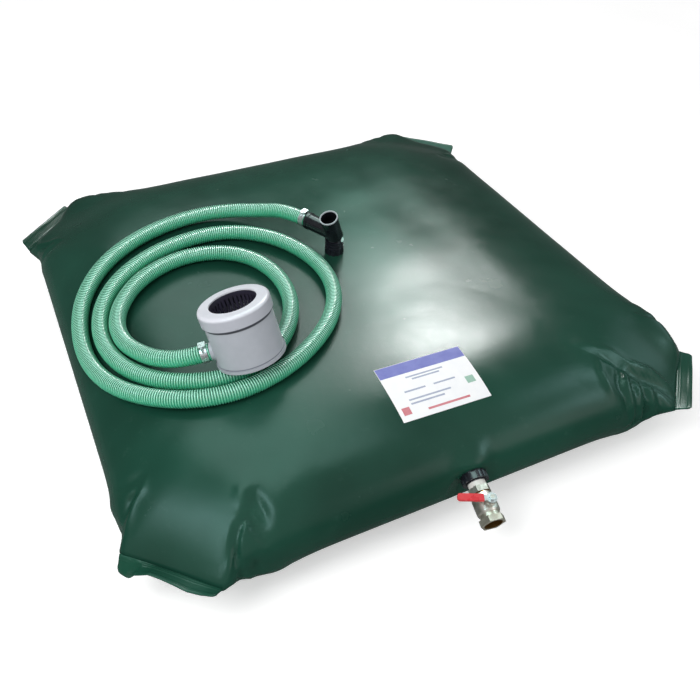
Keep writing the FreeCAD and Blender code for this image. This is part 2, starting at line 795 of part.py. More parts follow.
SEAL_TOP = "(top_neck_length + union_seal_thickness)"
union_seal = ring("union_seal", "top_neck_radius - union_seal_inset", "top_bore_radius",
                  "union_seal_thickness", "top_neck_length")
UNION_TOP = "(%s + tee_flange_thickness + union_lip)" % SEAL_TOP
UNION_FOOT = "(%s - union_height)" % UNION_TOP
union_rings = [rod("union_ring_%d" % number, "union_ring_radius", "union_ring_height",
                   "%s + (union_height - union_ring_height) * %d / 2" % (UNION_FOOT, number))
               for number in range(3)]
union_nut = less(
    "union_nut",
    joined("union_stock", rod("union_sleeve", "union_radius", "union_height", UNION_FOOT),
           *union_rings),
    rod("union_thread", "top_neck_radius + screw_clearance",
        "union_height - union_lip + union_slack + overrun", UNION_FOOT + " - overrun"),
    rod("union_hole", "tee_tail_radius + running_clearance", "union_height + 2 * overrun",
        UNION_FOOT + " - overrun"))
for item in (union_seal, union_nut):
    stand(item, *TOP_SEAT)

RUN_WAY = around(size("tee_lean_azimuth"), size("tee_lean"))
BRANCH_WAY = around(size("branch_azimuth"))
BRANCH_OFFSET = RUN_WAY * size("branch_level")


def tail(name, start):
    """The three shallow barbs of a hose tail."""
    return [taper("%s_barb_%d" % (name, number), "hose_bore_radius - screw_clearance",
                  "tail_neck_radius", "tail_length / 3",
                  "%s + tail_length / 3 * %d" % (start, number)) for number in range(3)]


def upright_group(name, *pieces):
    return stand(joined(name, *pieces))


def run_group(name, *pieces):
    """Pieces on the tee's leaning run."""
    return stand(joined(name, *pieces), z="tee_bend_level", turn=along(RUN_WAY))


def branch_group(name, *pieces):
    """Pieces on the tee's level branch."""
    item = joined(name, *pieces)
    item.Placement = Placement(Vector(0, 0, size("tee_bend_level")) + BRANCH_OFFSET,
                               along(BRANCH_WAY))
    return item


tee_moulding = joined(
    "tee_moulding",
    upright_group("tee_tail_group",
                  rod("tee_flange", "tee_flange_radius", "tee_flange_thickness", SEAL_TOP),
                  rod("tee_tail", "tee_tail_radius", "tee_bend_level - %s" % SEAL_TOP, SEAL_TOP),
                  ball("tee_elbow", "tee_tail_radius", "tee_bend_level")),
    run_group("tee_run_group",
              rod("tee_run", "tee_run_radius", "tee_run_length"),
              rod("tee_collar", "tee_collar_radius", "tee_collar_length",
                  "tee_run_length - tee_collar_length")),
    branch_group("tee_branch_group",
                 rod("tee_branch", "branch_radius", "branch_length"),
                 rod("tee_branch_rim", "branch_rim_radius", "branch_rim_length",
                     "branch_length - branch_rim_length"),
                 *tail("tee_hose_tail", "branch_length")))
tee = less(
    "tee_fitting", tee_moulding,
    upright_group("tee_tail_void",
                  rod("tee_tail_bore", "tee_bore_radius",
                      "tee_bend_level - %s + overrun" % SEAL_TOP, SEAL_TOP + " - overrun"),
                  ball("tee_elbow_bore", "tee_bore_radius", "tee_bend_level")),
    run_group("tee_run_void",
              rod("tee_run_bore", "tee_bore_radius", "tee_run_length"),
              rod("tee_mouth", "mouth_radius", "mouth_depth + overrun",
                  "tee_run_length + mouth_ring_thickness - mouth_depth")),
    branch_group("tee_branch_void",
                 rod("tee_branch_bore", "waterway_radius",
                     "branch_length + tail_length + overrun")))
stand(tee, *TOP_SEAT)
mouth_ring = ring("mouth_ring", "mouth_ring_radius", "mouth_radius",
                  "mouth_ring_thickness", "tee_run_length")
TEE_BEND = Vector(size("top_x"), size("top_y"), HEIGHT + size("tee_bend_level"))
mouth_ring.Placement = Placement(TEE_BEND, along(RUN_WAY))


# Collector, on an axis that leans back

COLLECTOR_WAY = around(size("collector_azimuth"), size("collector_lean"))
COLLECTOR_TURN = along(COLLECTOR_WAY)
COLLECTOR_SEAT = ("collector_x", "collector_y", "tank_height + collector_rise", COLLECTOR_TURN)
COLLECTOR_BASE = Vector(size("collector_x"), size("collector_y"), HEIGHT + size("collector_rise"))
level_way = around(size("spigot_azimuth"))
SPIGOT_WAY = (level_way - COLLECTOR_WAY * level_way.dot(COLLECTOR_WAY)).normalize()
SPIGOT_LOCAL = COLLECTOR_TURN.inverted().multVec(SPIGOT_WAY)
SPIGOT_TURN = Rotation(Vector(0, 0, 1), SPIGOT_LOCAL)
BODY_HEIGHT = "(collector_height - collector_wall)"


def spigot_group(name, *pieces):
    """Pieces on the collector's side spigot."""
    return stand(joined(name, *pieces), z="spigot_level", turn=SPIGOT_TURN)


collector_body = less(
    "collector_body",
    joined("collector_moulding",
           rod("collector_drum", "collector_radius", BODY_HEIGHT),
           rod("collector_foot", "collector_foot_radius", "collector_foot_height"),
           spigot_group("collector_spigot",
                        rod("spigot_shoulder", "spigot_radius", "spigot_length"),
                        *tail("spigot_tail", "spigot_length"))),
    rod("collector_inside", "collector_radius - collector_wall", BODY_HEIGHT, "collector_wall"),
    rod("collector_outlet", "downpipe_radius", "2 * collector_wall", "-collector_wall / 2"),
    spigot_group("spigot_void",
                 rod("spigot_bore", "waterway_radius",
                     "spigot_length + tail_length + overrun - collector_radius"
                     " + 2 * collector_wall",
                     "collector_radius - 2 * collector_wall")))
cap_blank = rounded(
    "cap_blank", rod("cap_stock", "cap_radius", "cap_skirt", "collector_height - cap_skirt"),
    size("cap_rounding"),
    lambda edge: is_circle(edge, size("cap_radius"), size("collector_height")))
cap = less(
    "collector_cap", cap_blank,
    rod("cap_inside", "collector_radius + running_clearance", "cap_skirt - collector_wall",
        "collector_height - cap_skirt"),
    rod("cap_mouth", "downpipe_radius", "2 * collector_wall",
        "collector_height - 1.5 * collector_wall"),
    block("cap_notch", ("cap_notch_width", "cap_radius", "2 * cap_notch_height"),
          ("-cap_notch_offset", "-2 * cap_radius + collector_wall",
           "collector_height - cap_skirt - cap_notch_height")))

slots = []
for number in range(int(size("strainer_slots"))):
    slot = block("slot_%d" % number,
                 ("2 * collector_wall", "strainer_slot_width", "strainer_slot_height"),
                 ("downpipe_radius - collector_wall / 2", "-strainer_slot_width / 2",
                  "strainer_slot_level"))
    turn = Rotation(Vector(0, 0, 1), 360.0 * number / size("strainer_slots"))
    slots.append(stand(joined("slot_turned_%d" % number, slot), turn=turn))
basket = ring("basket", "downpipe_radius + strainer_wall", "downpipe_radius",
              "collector_height - 2 * collector_wall", "collector_wall")
strainer = less("collector_strainer", basket, *slots)
for item in (collector_body, cap, strainer):
    stand(item, *COLLECTOR_SEAT)


# Hose: straight runs joined by tangent arcs, from the tee's tail to the collector's tail

HOSE_START = (TEE_BEND + BRANCH_OFFSET
              + BRANCH_WAY * (size("branch_length") + size("running_clearance")))
HOSE_END = (COLLECTOR_BASE + COLLECTOR_WAY * size("spigot_level")
            + SPIGOT_WAY * (size("spigot_length") + size("running_clearance")))


def hose_points():
    middle = [Vector(x, y, HEIGHT + rise) for x, y, rise in HOSE_ROUTE]
    return [HOSE_START] + middle + [HOSE_END + SPIGOT_WAY * LAST_RUN, HOSE_END]


def hose_path(points):
    """The edges of the path and the radius of each of its arcs."""
    edges = []
    radii = []
    reached = points[0]
    for before, here, after in zip(points, points[1:], points[2:]):
        arriving = (here - before).normalize()
        leaving = (after - here).normalize()
        turn = arriving.getAngle(leaving)
        tangent = ARC_SHARE * min((here - before).Length, (after - here).Length)
        radius = tangent / math.tan(turn / 2)
        inward = (leaving - arriving).normalize()
        start = here - arriving * tangent
        end = here + leaving * tangent
        middle = here + inward * (radius / math.cos(turn / 2) - radius)
        edges.append(Part.LineSegment(reached, start).toShape())
        edges.append(Part.Arc(start, middle, end).toShape())
        radii.append(radius)
        reached = end
    edges.append(Part.LineSegment(reached, points[-1]).toShape())
    return Part.Wire(edges), radii


def hose_pocket(end, way):
    """The room that a hose tail takes in the hose's end."""
    return Part.makeCylinder(size("hose_bore_radius"), size("tail_length") + size("overrun"),
                             end, way)


centre_line, hose_radii = hose_path(hose_points())
section = Part.Wire(Part.makeCircle(size("hose_radius"), HOSE_START, BRANCH_WAY))
tube = centre_line.makePipeShell([section], True, True)
expected = math.pi * size("hose_radius") ** 2 * centre_line.Length
print("hose length %.0f mm, least radius %.0f mm" % (centre_line.Length, min(hose_radii)))
print("hose radii", [round(radius) for radius in hose_radii])
print("hose volume over section times length %.5f" % (tube.Volume / expected))
hose = doc.addObject("Part::Feature", "inlet_hose")
hose.Shape = tube.cut([hose_pocket(HOSE_START, BRANCH_WAY), hose_pocket(HOSE_END, SPIGOT_WAY)])


# Hose clamps: a band with a screw housing, and a wing screw across it

HOUSING_BASE = "(hose_radius + running_clearance + clamp_thickness / 2)"


def clamp_band(name):
    strap = ring(name + "_strap", "hose_radius + running_clearance + clamp_thickness",
                 "hose_radius + running_clearance", "clamp_width", "clamp_from_end")
    housing = block(name + "_housing",
                    ("clamp_housing_length", "clamp_housing_height", "clamp_width"),
                    ("-clamp_housing_length / 2", HOUSING_BASE, "clamp_from_end"))
    hole = stand(rod(name + "_screw_hole", "clamp_screw_radius + running_clearance",
                     "2 * clamp_housing_length"),
                 "-clamp_housing_length", HOUSING_BASE + " + clamp_housing_height / 2",
                 "clamp_from_end + clamp_width / 2", ALONG_X)
    return less(name, joined(name + "_blank", strap, housing), hole)


def clamp_screw(name):
    shank = stand(rod(name + "_shank", "clamp_screw_radius", "clamp_screw_length"),
                  "-clamp_housing_length / 2 - overrun",
                  HOUSING_BASE + " + clamp_housing_height / 2",
                  "clamp_from_end + clamp_width / 2", ALONG_X)
    wing = block(name + "_wing",
                 ("clamp_wing_width / 2", "clamp_wing_width", "clamp_wing_thickness"),
                 ("clamp_screw_length - clamp_housing_length / 2 - 2 * overrun",
                  HOUSING_BASE + " + clamp_housing_height / 2 - clamp_wing_width / 2",
                  "clamp_from_end + clamp_width / 2 - clamp_wing_thickness / 2"))
    return joined(name, shank, wing)


def clamps(node, make):
    """The same piece on both ends of the hose, as one node."""
    pair = []
    for end, place, way in (("tee", HOSE_START, BRANCH_WAY), ("collector", HOSE_END, SPIGOT_WAY)):
        item = make("%s_%s" % (end, node))
        item.Placement = Placement(place, along(way))
        pair.append(item)
    group = doc.addObject("Part::Compound", node)
    group.Links = pair


clamps("clamp_bands", clamp_band)
clamps("clamp_screws", clamp_screw)

NODES = [
    "tank_envelope", "label_plate",
    "outlet_bulkhead", "outlet_gasket", "outlet_nut", "outlet_nipple",
    "valve_body", "valve_end_cap", "ball_seats", "valve_ball", "valve_stem", "stem_packing",
    "gland_nut", "valve_lever", "lever_sleeve", "lever_nut",
    "top_bulkhead", "top_gasket", "top_nut", "union_seal", "union_nut",
    "tee_fitting", "mouth_ring", "inlet_hose", "clamp_bands", "clamp_screws",
    "collector_body", "collector_cap", "collector_strainer",
]

doc.recompute()
for item in doc.Objects:
    if "Invalid" in item.State or "Error" in item.State:
        raise RuntimeError("%s failed: %s" % (item.Name, item.State))
for node in NODES:
    shape = doc.getObject(node).Shape
    if shape.isNull() or not shape.isValid():
        raise RuntimeError("%s has no valid shape" % node)

os.makedirs("parts", exist_ok=True)
for node in NODES:
    item = doc.getObject(node)
    item.Label = node
    item.Shape.exportStep("parts/%s.step" % node)
    print("%-20s solids %d volume %.0f" % (node, len(item.Shape.Solids), item.Shape.Volume))
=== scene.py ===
"""Looks of the flexible water tank, in metres, in the frame of its solids.

The bag, its weld flaps, the hose and the printed fields of the label are built here.
Every other piece is its solid with a procedural material.
"""
import math

import bpy
import numpy as np
from mathutils import Matrix, Vector


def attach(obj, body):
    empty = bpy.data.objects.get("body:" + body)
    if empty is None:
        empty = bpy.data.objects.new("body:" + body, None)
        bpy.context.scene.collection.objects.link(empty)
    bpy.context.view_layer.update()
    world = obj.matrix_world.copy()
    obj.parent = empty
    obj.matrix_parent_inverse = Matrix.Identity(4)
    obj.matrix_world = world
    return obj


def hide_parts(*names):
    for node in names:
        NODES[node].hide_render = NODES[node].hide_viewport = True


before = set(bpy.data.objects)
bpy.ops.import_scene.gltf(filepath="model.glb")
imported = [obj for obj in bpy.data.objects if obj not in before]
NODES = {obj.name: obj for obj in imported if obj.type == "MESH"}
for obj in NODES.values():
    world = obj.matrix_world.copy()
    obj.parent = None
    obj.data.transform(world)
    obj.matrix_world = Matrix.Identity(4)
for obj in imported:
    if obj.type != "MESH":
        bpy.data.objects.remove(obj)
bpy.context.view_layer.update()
SCENE = bpy.context.scene


# Materials

def srgb(code):
    """A colour written as a hex code, as linear values."""
    parts = [int(code[i:i + 2], 16) / 255 for i in (0, 2, 4)]
    return [c / 12.92 if c <= 0.04045 else ((c + 0.055) / 1.055) ** 2.4 for c in parts] + [1]


class Nodes:
    """A node tree with short calls. An input is a constant or another node's output."""

    def __init__(self, tree):
        self.tree = tree

    def put(self, socket, value):
        if hasattr(value, "is_output"):
            self.tree.links.new(value, socket)
        else:
            socket.default_value = value

    def node(self, kind, inputs=None, **settings):
        """A new node: its inputs by name or number, and its own settings."""
        node = self.tree.nodes.new("ShaderNode" + kind)
        for key, value in settings.items():
            setattr(node, key, value)
        for key, value in (inputs or {}).items():
            self.put(node.inputs[key], value)
        return node

    def calc(self, operation, first, second):
        return self.node("Math", {0: first, 1: second}, operation=operation).outputs[0]

    def ramp(self, source, low, high, start, end, **settings):
        """The source's range from start to end, spread from low to high."""
        inputs = {"Value": source, "From Min": start, "From Max": end,
                  "To Min": low, "To Max": high}
        return self.node("MapRange", inputs, **settings).outputs["Result"]


class Surface(Nodes):
    """A material with the Principled shader. place is where a point lies, in metres."""

    def __init__(self, name):
        self.material = bpy.data.materials.new(name)
        self.material.use_nodes = True
        super().__init__(self.material.node_tree)
        self.shader = self.tree.nodes["Principled BSDF"]
        self.place = self.node("TexCoord").outputs["Object"]

    def noise(self, scale, detail=4, roughness=0.55, stretch=None):
        place = self.place
        if stretch:
            place = self.node("Mapping", {"Vector": place, "Scale": stretch}).outputs["Vector"]
        inputs = {"Vector": place, "Scale": scale, "Detail": detail, "Roughness": roughness}
        return self.node("TexNoise", inputs).outputs["Fac"]

    def mix(self, amount, first, second):
        """The colours first and second, mixed by a number or a source."""
        return self.node("Mix", {0: amount, 6: first, 7: second}, data_type="RGBA").outputs[2]

    def mottled(self, colour, tint, scale, detail=4):
        """Two tones in soft patches."""
        patches = self.ramp(self.noise(scale, detail), 0, 1, 0.3, 0.7)
        return self.mix(patches, srgb(colour), srgb(tint))

    def bump(self, height, distance, strength, under=None):
        inputs = {"Height": height, "Distance": distance, "Strength": strength}
        if under is not None:
            inputs["Normal"] = under
        return self.node("Bump", inputs).outputs["Normal"]

    def vector(self, operation, first, second=None, output="Vector"):
        inputs = {0: first} if second is None else {0: first, 1: second}
        return self.node("VectorMath", inputs, operation=operation).outputs[output]

    def along_axis(self, point, way):
        """How far up the axis through a point each place lies."""
        return self.vector("DOT_PRODUCT", self.vector("SUBTRACT", self.place, point), way, "Value")

    def off_axis(self, point, way):
        """How far from the axis through a point each place lies."""
        across = self.vector("CROSS_PRODUCT", self.vector("SUBTRACT", self.place, point), way)
        return self.vector("LENGTH", across, output="Value")

    def painted_light_share(self):
        """1 where the surface faces up, falling to 0 where it faces sideways: the share by which a
        colour is painted lit or shaded.
        """
        normal = self.node("NewGeometry").outputs["Normal"]
        return self.ramp(self.node("SeparateXYZ", {0: normal}).outputs["Z"], 0, 1, 0.05, 0.85)

    def finished(self, **values):
        """The material, with these values on its shader."""
        for name, value in values.items():
            self.put(self.shader.inputs[name.replace("_", " ")], value)
        return self.material


def coated_fabric(name, dark, light, dents=1.0):
    """Glossy PVC on a woven scrim: a fine weave, slow changes of tone, small dents and scuffs."""
    n = Surface(name)
    cloudy = n.ramp(n.noise(2.6, 3), 0, 1, 0.35, 0.68)
    dusty = n.ramp(n.noise(31, 6, 0.72), 0, 0.16, 0.6, 0.82)
    colour = n.mix(cloudy, srgb(dark), srgb(light))
    colour = n.mix(dusty, colour, srgb(DUST))
    threads = [n.node("TexWave", {"Vector": n.place, "Scale": THREADS_SCALE, "Distortion": 0.6},
                      bands_direction=way).outputs["Fac"] for way in "XY"]
    normal = n.bump(n.noise(4.2, 2), 0.003, 0.35 * dents)
    normal = n.bump(n.noise(75, 3, 0.6), 0.0005, 0.3, normal)
    normal = n.bump(n.calc("ADD", *threads), 0.00005, 0.25, normal)
    rough = n.ramp(n.noise(11, 4, 0.6), 0.2, 0.28, 0.3, 0.72)
    return n.finished(Base_Color=colour, Roughness=rough, Normal=normal, Specular_IOR_Level=0.2)


def moulded(name, colour, worn, rough=0.42, grain=320, level=0.5, coat=0.0, shade_belts=()):
    """Moulded plastic: fine grain, tone and gloss that change a little, paler scuffs.

    A shade belt is a colour that starts at one distance along COLLECTOR_AXIS and is full at
    another; the belts paint shade into the collector's colour.
    """
    n = Surface(name)
    slow = n.ramp(n.noise(26, 3), 0, 1, 0.3, 0.7)
    scuffs = n.ramp(n.noise(150, 6, 0.75), 0, 0.4, 0.58, 0.85)
    tone = n.mix(n.calc("MULTIPLY", slow, 0.5), srgb(colour), srgb(worn))
    tone = n.mix(scuffs, tone, srgb(worn))
    # Painted shade: bands of darker colour along the collector's axis.
    for start, full, shade_colour in shade_belts:
        share = n.ramp(n.along_axis(*COLLECTOR_AXIS), 0, 1, start, full)
        tone = n.mix(share, tone, srgb(shade_colour))
    normal = n.bump(n.noise(grain, 3, 0.6), 0.00012, 0.5)
    gloss = n.ramp(n.noise(60, 4), rough - 0.07, rough + 0.1, 0.3, 0.7)
    return n.finished(Base_Color=tone, Roughness=gloss, Normal=normal, Specular_IOR_Level=level,
                      Coat_Weight=coat)


def metal(name, colour, tarnish, rough=0.24, brushed=None, bare=None, metallic=1.0):
    """Plated metal: patches of tarnish, fine turning marks and small pits.

    bare is the colour of the unplated metal inside the pipe's bore.
    """
    n = Surface(name)
    patches = n.ramp(n.noise(75, 5, 0.65), 0, 0.75, 0.42, 0.75)
    tone = n.mix(patches, srgb(colour), srgb(tarnish))
    if bare:
        inside = n.calc("LESS_THAN", n.off_axis(*PIPE_AXIS), BORE_RADIUS)
        tone = n.mix(inside, tone, srgb(bare))
    normal = n.bump(n.noise(260, 3, 0.6, stretch=brushed), 0.00014, 0.45)
    normal = n.bump(n.noise(90, 4, 0.6), 0.0004, 0.25, normal)
    gloss = n.ramp(n.noise(120, 4), rough, rough + 0.2, 0.35, 0.75)
    return n.finished(Base_Color=tone, Metallic=metallic, Roughness=gloss, Normal=normal)


def rubber(name, colour, worn):
    """Dull sealing rubber with a fine grain."""
    n = Surface(name)
    return n.finished(Base_Color=n.mottled(colour, worn, 140), Roughness=0.72,
                      Normal=n.bump(n.noise(420, 3), 0.0001, 0.5), Specular_IOR_Level=0.35)


def hose_wall(name):
    """Clear green PVC between the hose's ribs, with light coming through it, and painted shade:
    darker green where it faces up.
    """
    n = Surface(name)
    # Painted shade: the wall is darker green where it faces up, between the lit ribs, and paler
    # green below.
    tone = n.mix(n.painted_light_share(), n.mottled("38a47d", "4fb890", 9, 3), srgb("1f6d50"))
    normal = n.bump(n.noise(160, 3), 0.0003, 0.3)
    return n.finished(Base_Color=tone, Roughness=0.26, Normal=normal, Subsurface_Weight=0.2,
                      Subsurface_Scale=0.006, Coat_Weight=0.25, Coat_Roughness=0.15)


def hose_rib(name):
    """The hard pale spiral, with a painted highlight: paler where it faces up."""
    n = Surface(name)
    # Painted highlight: the rib turns pale mint where it faces up.
    tone = n.mix(n.painted_light_share(), n.mottled("4ab58c", "62c9a0", 12, 3), srgb("9fe3c8"))
    normal = n.bump(n.noise(210, 3), 0.0002, 0.3)
    return n.finished(Base_Color=tone, Roughness=0.28, Normal=normal, Coat_Weight=0.25,
                      Coat_Roughness=0.15)


def paper(name, colour, tint):
    """Print on a dull film: faint mottling and slight waves."""
    n = Surface(name)
    return n.finished(Base_Color=n.mottled(colour, tint, 30), Roughness=0.5,
                      Normal=n.bump(n.noise(28, 2), 0.0012, 0.3), Specular_IOR_Level=0.15)


DUST = "4f6f63"
THREADS_SCALE = 260.0
# Axes as a point in metres and a way: the outlet's pipe, and the collector from its base up
PIPE_AXIS = ((0.008, -0.67, 0.134), (-0.144021, -0.963667, -0.224951))
BORE_RADIUS = 0.0202
COLLECTOR_AXIS = ((-0.3315, -0.302, 0.292), (-0.152871, 0.291176, 0.944376))
# Painted shade on the drum: dark from 93.5 mm up, under the cap's skirt, and a dark band about 7
# to 10 mm over the base, at the foot's ledge; the last belt brings back the drum's own colour.
DRUM_SHADE_BELTS = [(0.0935, 0.0950, "4a4d55"), (0.0098, 0.0090, "777b84"), (0.0074, 0.0068, "a9aeb6")]
# Painted shade on the cap: its skirt greyer than its top from 127.5 mm down, and its lowest
# millimetre dark along the seam with the drum.
CAP_SHADE_BELTS = [(0.1275, 0.1225, "b3b6bf"), (0.1018, 0.1012, "5c5f68")]

BAG = coated_fabric("bag_pvc", "12382c", "1d493b")
FLAP = coated_fabric("flap_pvc", "174535", "1f5141", 0.5)
BLACK = moulded("black_moulding", "0e0f14", "22242c", 0.17, 120, 0.5, 0.3)
BLACK_NUT = moulded("black_nut", "16171e", "2e3039", 0.2, 120, 0.5, 0.3)
STRAINER = moulded("strainer_plastic", "2c2936", "45415a", 0.4)
GREY = moulded("collector_grey", "a9aeb6", "b8bcc4", 0.36, 260, 0.45, shade_belts=DRUM_SHADE_BELTS)
RIM_GREY = moulded("mouth_rim_grey", "94989e", "b2b6bc", 0.36, 260, 0.45)
GREY_CAP = moulded("collector_cap_grey", "dfe1e9", "cfd2da", 0.34, 260, 0.45, shade_belts=CAP_SHADE_BELTS)
WHITE = moulded("white_nipple", "e6e6e1", "cfcfc8", 0.36, 260, 0.5)
SEAT = moulded("seat_plastic", "d9d4c4", "e6e2d6", 0.45)
SEAL = rubber("seal_rubber", "1b1c1d", "3a3c3d")
NICKEL = metal("nickel_plate", "dcd8d0", "a39c8e", 0.28, bare="8a6a38", metallic=0.85)
NICKEL_END = metal("nickel_end", "ddd6c8", "a89c86", 0.28, bare="8a6a38", metallic=0.85)
STEEL = metal("band_steel", "e6e8ea", "b4b7b9", 0.24, (1, 1, 6), metallic=0.9)
LEVER = metal("lever_steel", "d5d8d9", "a0a3a4", 0.3, metallic=0.9)
SLEEVE = moulded("red_sleeve", "d01c28", "e0444c", 0.3, 300, 0.5, 0.2)
WALL = hose_wall("hose_wall")
RIB = hose_rib("hose_rib")
LABEL = paper("label_paper", "fafbfc", "f3f5f8")
BAND = paper("label_band", "6267b4", "757bc2")
FIELD = paper("label_field", "aab2c6", "9ca6be")
ACCENT = paper("label_accent", "c9727b", "d48a92")
GREEN_FIELD = paper("label_green_field", "8fb8a6", "a4c6b7")

FINISH = {
    "label_plate": (LABEL, "label"),
    "outlet_bulkhead": (BLACK, "black_plastic"),
    "outlet_gasket": (SEAL, "seal"),
    "outlet_nut": (BLACK_NUT, "black_plastic"),
    "outlet_nipple": (WHITE, "white_plastic"),
    "valve_body": (NICKEL, "nickel"),
    "valve_end_cap": (NICKEL_END, "nickel"),
    "ball_seats": (SEAT, "seat_plastic"),
    "valve_ball": (NICKEL, "nickel"),
    "valve_stem": (NICKEL, "nickel"),
    "stem_packing": (SEAT, "seat_plastic"),
    "gland_nut": (NICKEL, "nickel"),
    "valve_lever": (LEVER, "steel"),
    "lever_sleeve": (SLEEVE, "red_sleeve"),
    "lever_nut": (LEVER, "steel"),
    "top_bulkhead": (BLACK, "black_plastic"),
    "top_gasket": (SEAL, "seal"),
    "top_nut": (BLACK_NUT, "black_plastic"),
    "union_seal": (SEAL, "seal"),
    "union_nut": (BLACK_NUT, "black_plastic"),
    "tee_fitting": (BLACK, "black_plastic"),
    "mouth_ring": (RIM_GREY, "grey_plastic"),
    "clamp_bands": (STEEL, "steel"),
    "clamp_screws": (STEEL, "steel"),
    "collector_body": (GREY, "grey_plastic"),
    "collector_cap": (GREY_CAP, "grey_plastic"),
    "collector_strainer": (STRAINER, "black_plastic"),
}

for node_name, (finish, slot) in FINISH.items():
    surfaces = NODES[node_name].data.materials
    surfaces.clear()
    surfaces.append(finish)


# Meshes

def mesh_piece(name, points, faces, materials, marks=None):
    """A new smooth piece from points in metres. marks gives each face's material."""
    mesh = bpy.data.meshes.new(name)
    mesh.from_pydata([tuple(p) for p in points], [], faces)
    mesh.validate()
    for material in materials:
        mesh.materials.append(material)
    if marks is not None:
        mesh.polygons.foreach_set("material_index", marks)
    mesh.polygons.foreach_set("use_smooth", [True] * len(mesh.polygons))
    mesh.update()
    piece = bpy.data.objects.new(name, mesh)
    SCENE.collection.objects.link(piece)
    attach(piece, "tank")
    return piece


def strip_faces(rows, columns, closed):
    """Quads of a grid of points, each row closed into a ring or not."""
    faces = []
    for r in range(rows - 1):
        for c in range(columns if closed else columns - 1):
            d = (c + 1) % columns
            faces.append((r * columns + c, r * columns + d,
                          (r + 1) * columns + d, (r + 1) * columns + c))
    return faces


def layer_faces(rows, columns):
    """Faces of two grids of points, one over the other: the second faces the other way."""
    faces = strip_faces(rows, columns, False)
    return faces + [tuple(rows * columns + k for k in face[::-1]) for face in faces]


def distances(line):
    """How far along a line of points each of them is."""
    return np.concatenate([[0], np.cumsum(np.linalg.norm(np.diff(line, axis=0), axis=1))])


# Bag, worked out in millimetres: the crown is its flat top, the foot its flat bottom, and its two
# sheets meet at the seam. A corner is a distance from the middle along a diagonal.

HALF, HEIGHT, SEAM = 680.0, 245.0, 122.0
CROWN_HALF, FOOT_HALF = 340.0, 400.0
SEAM_CUT, CROWN_CUT, FOOT_CUT = 84.7, 61.0, 71.0
SEAM_CORNER = math.sqrt(2) * HALF - SEAM_CUT
CROWN_CORNER = math.sqrt(2) * CROWN_HALF - CROWN_CUT
FOOT_CORNER = math.sqrt(2) * FOOT_HALF - FOOT_CUT
SEAM_PANEL, CROWN_PANEL, FOOT_PANEL = 214.0, 122.0, 142.0
SEAM_RIDGE, CROWN_RIDGE = 8.0, 41.0
FOLD_STEP, FOLD_REACH, FOLD_DEPTH = 45.0, 115.0, 6.0
SIDE_STEPS, FLANK_STEPS, RIDGE_STEPS, PANEL_STEPS = 20, 17, 5, 11
# Powers of the section's curves: reach above and below the seam, level, corners above the seam
UPPER_POWER, LOWER_POWER, LEVEL_POWER, CORNER_POWER = 2 / 2.6, 2 / 2.4, 2 / 2.2, 1 / 3.2
LOWER_RINGS, UPPER_RINGS, CROWN_RINGS, CROWN_MIDDLE = 34, 66, 16, 0.02
FOOT_SHARES = (0.05, 0.5)
SECTION_SAMPLES = 600


def unit(vector):
    return vector / np.linalg.norm(vector)


def between(first, last, share):
    return first + (last - first) * share


def pressed_side(points, first_way, last_way):
    """Points of a smooth curve through three points, the last one left out."""
    p0, p1, p2 = points
    h0, h1 = np.linalg.norm(p1 - p0), np.linalg.norm(p2 - p1)
    pull = 3 * ((p1 - p0) / h0 ** 2 + (p2 - p1) / h1 ** 2) - first_way / h0 - last_way / h1
    middle_way = pull / (2 / h0 + 2 / h1)
    s = (np.arange(FLANK_STEPS) / FLANK_STEPS)[:, None]
    spans = []
    for a, b, way_a, way_b, h in ((p0, p1, first_way, middle_way, h0),
                                  (p1, p2, middle_way, last_way, h1)):
        spans.append((2 * s ** 3 - 3 * s ** 2 + 1) * a + (s ** 3 - 2 * s ** 2 + s) * h * way_a
                     + (3 * s ** 2 - 2 * s ** 3) * b + (s ** 3 - s ** 2) * h * way_b)
    return np.concatenate(spans)


def folded_ring(half, corner, panel, dent, rounding, level):
    """One turn of the bag's outline: at each corner a flat panel between two ridges."""
    ridge = np.array([corner + panel / 2, corner - panel / 2]) / math.sqrt(2)
    middle = np.array([corner, corner]) / math.sqrt(2)
    side_end = np.array([half, ridge[1] - rounding - FOLD_REACH])
    valley = np.array([half - dent, ridge[1] - rounding - FOLD_STEP])
    arriving, leaving = unit(ridge - valley), unit(middle - ridge)
    bend = math.acos(np.clip(arriving @ leaving, -1, 1))
    before, after = ridge - arriving * rounding, ridge + leaving * rounding
    share = (np.arange(SIDE_STEPS) / SIDE_STEPS)[:, None]
    side = np.array([half, 0.0]) * (1 - share) + side_end * share
    flank = pressed_side((side_end, valley, before), np.array([0.0, 1.0]), arriving)
    radius = rounding / math.tan(bend / 2)
    inward = np.array([-arriving[1], arriving[0]])
    centre = before + inward * radius
    turn = (np.arange(RIDGE_STEPS) / RIDGE_STEPS * bend)[:, None]
    arc = centre - inward * radius * np.cos(turn) + arriving * radius * np.sin(turn)
    share = (np.arange(PANEL_STEPS) / PANEL_STEPS)[:, None]
    flat = after * (1 - share) + middle * share
    octant = np.concatenate([side, flank, arc, flat])
    mirrored = np.concatenate([[middle], octant[:0:-1]])[:, ::-1]
    quarter = np.concatenate([octant, mirrored])
    points = []
    for _ in range(4):
        points.append(quarter)
        quarter = np.stack([-quarter[:, 1], quarter[:, 0]], 1)
    ring = np.concatenate(points)
    return np.column_stack([ring, np.full(len(ring), level)])


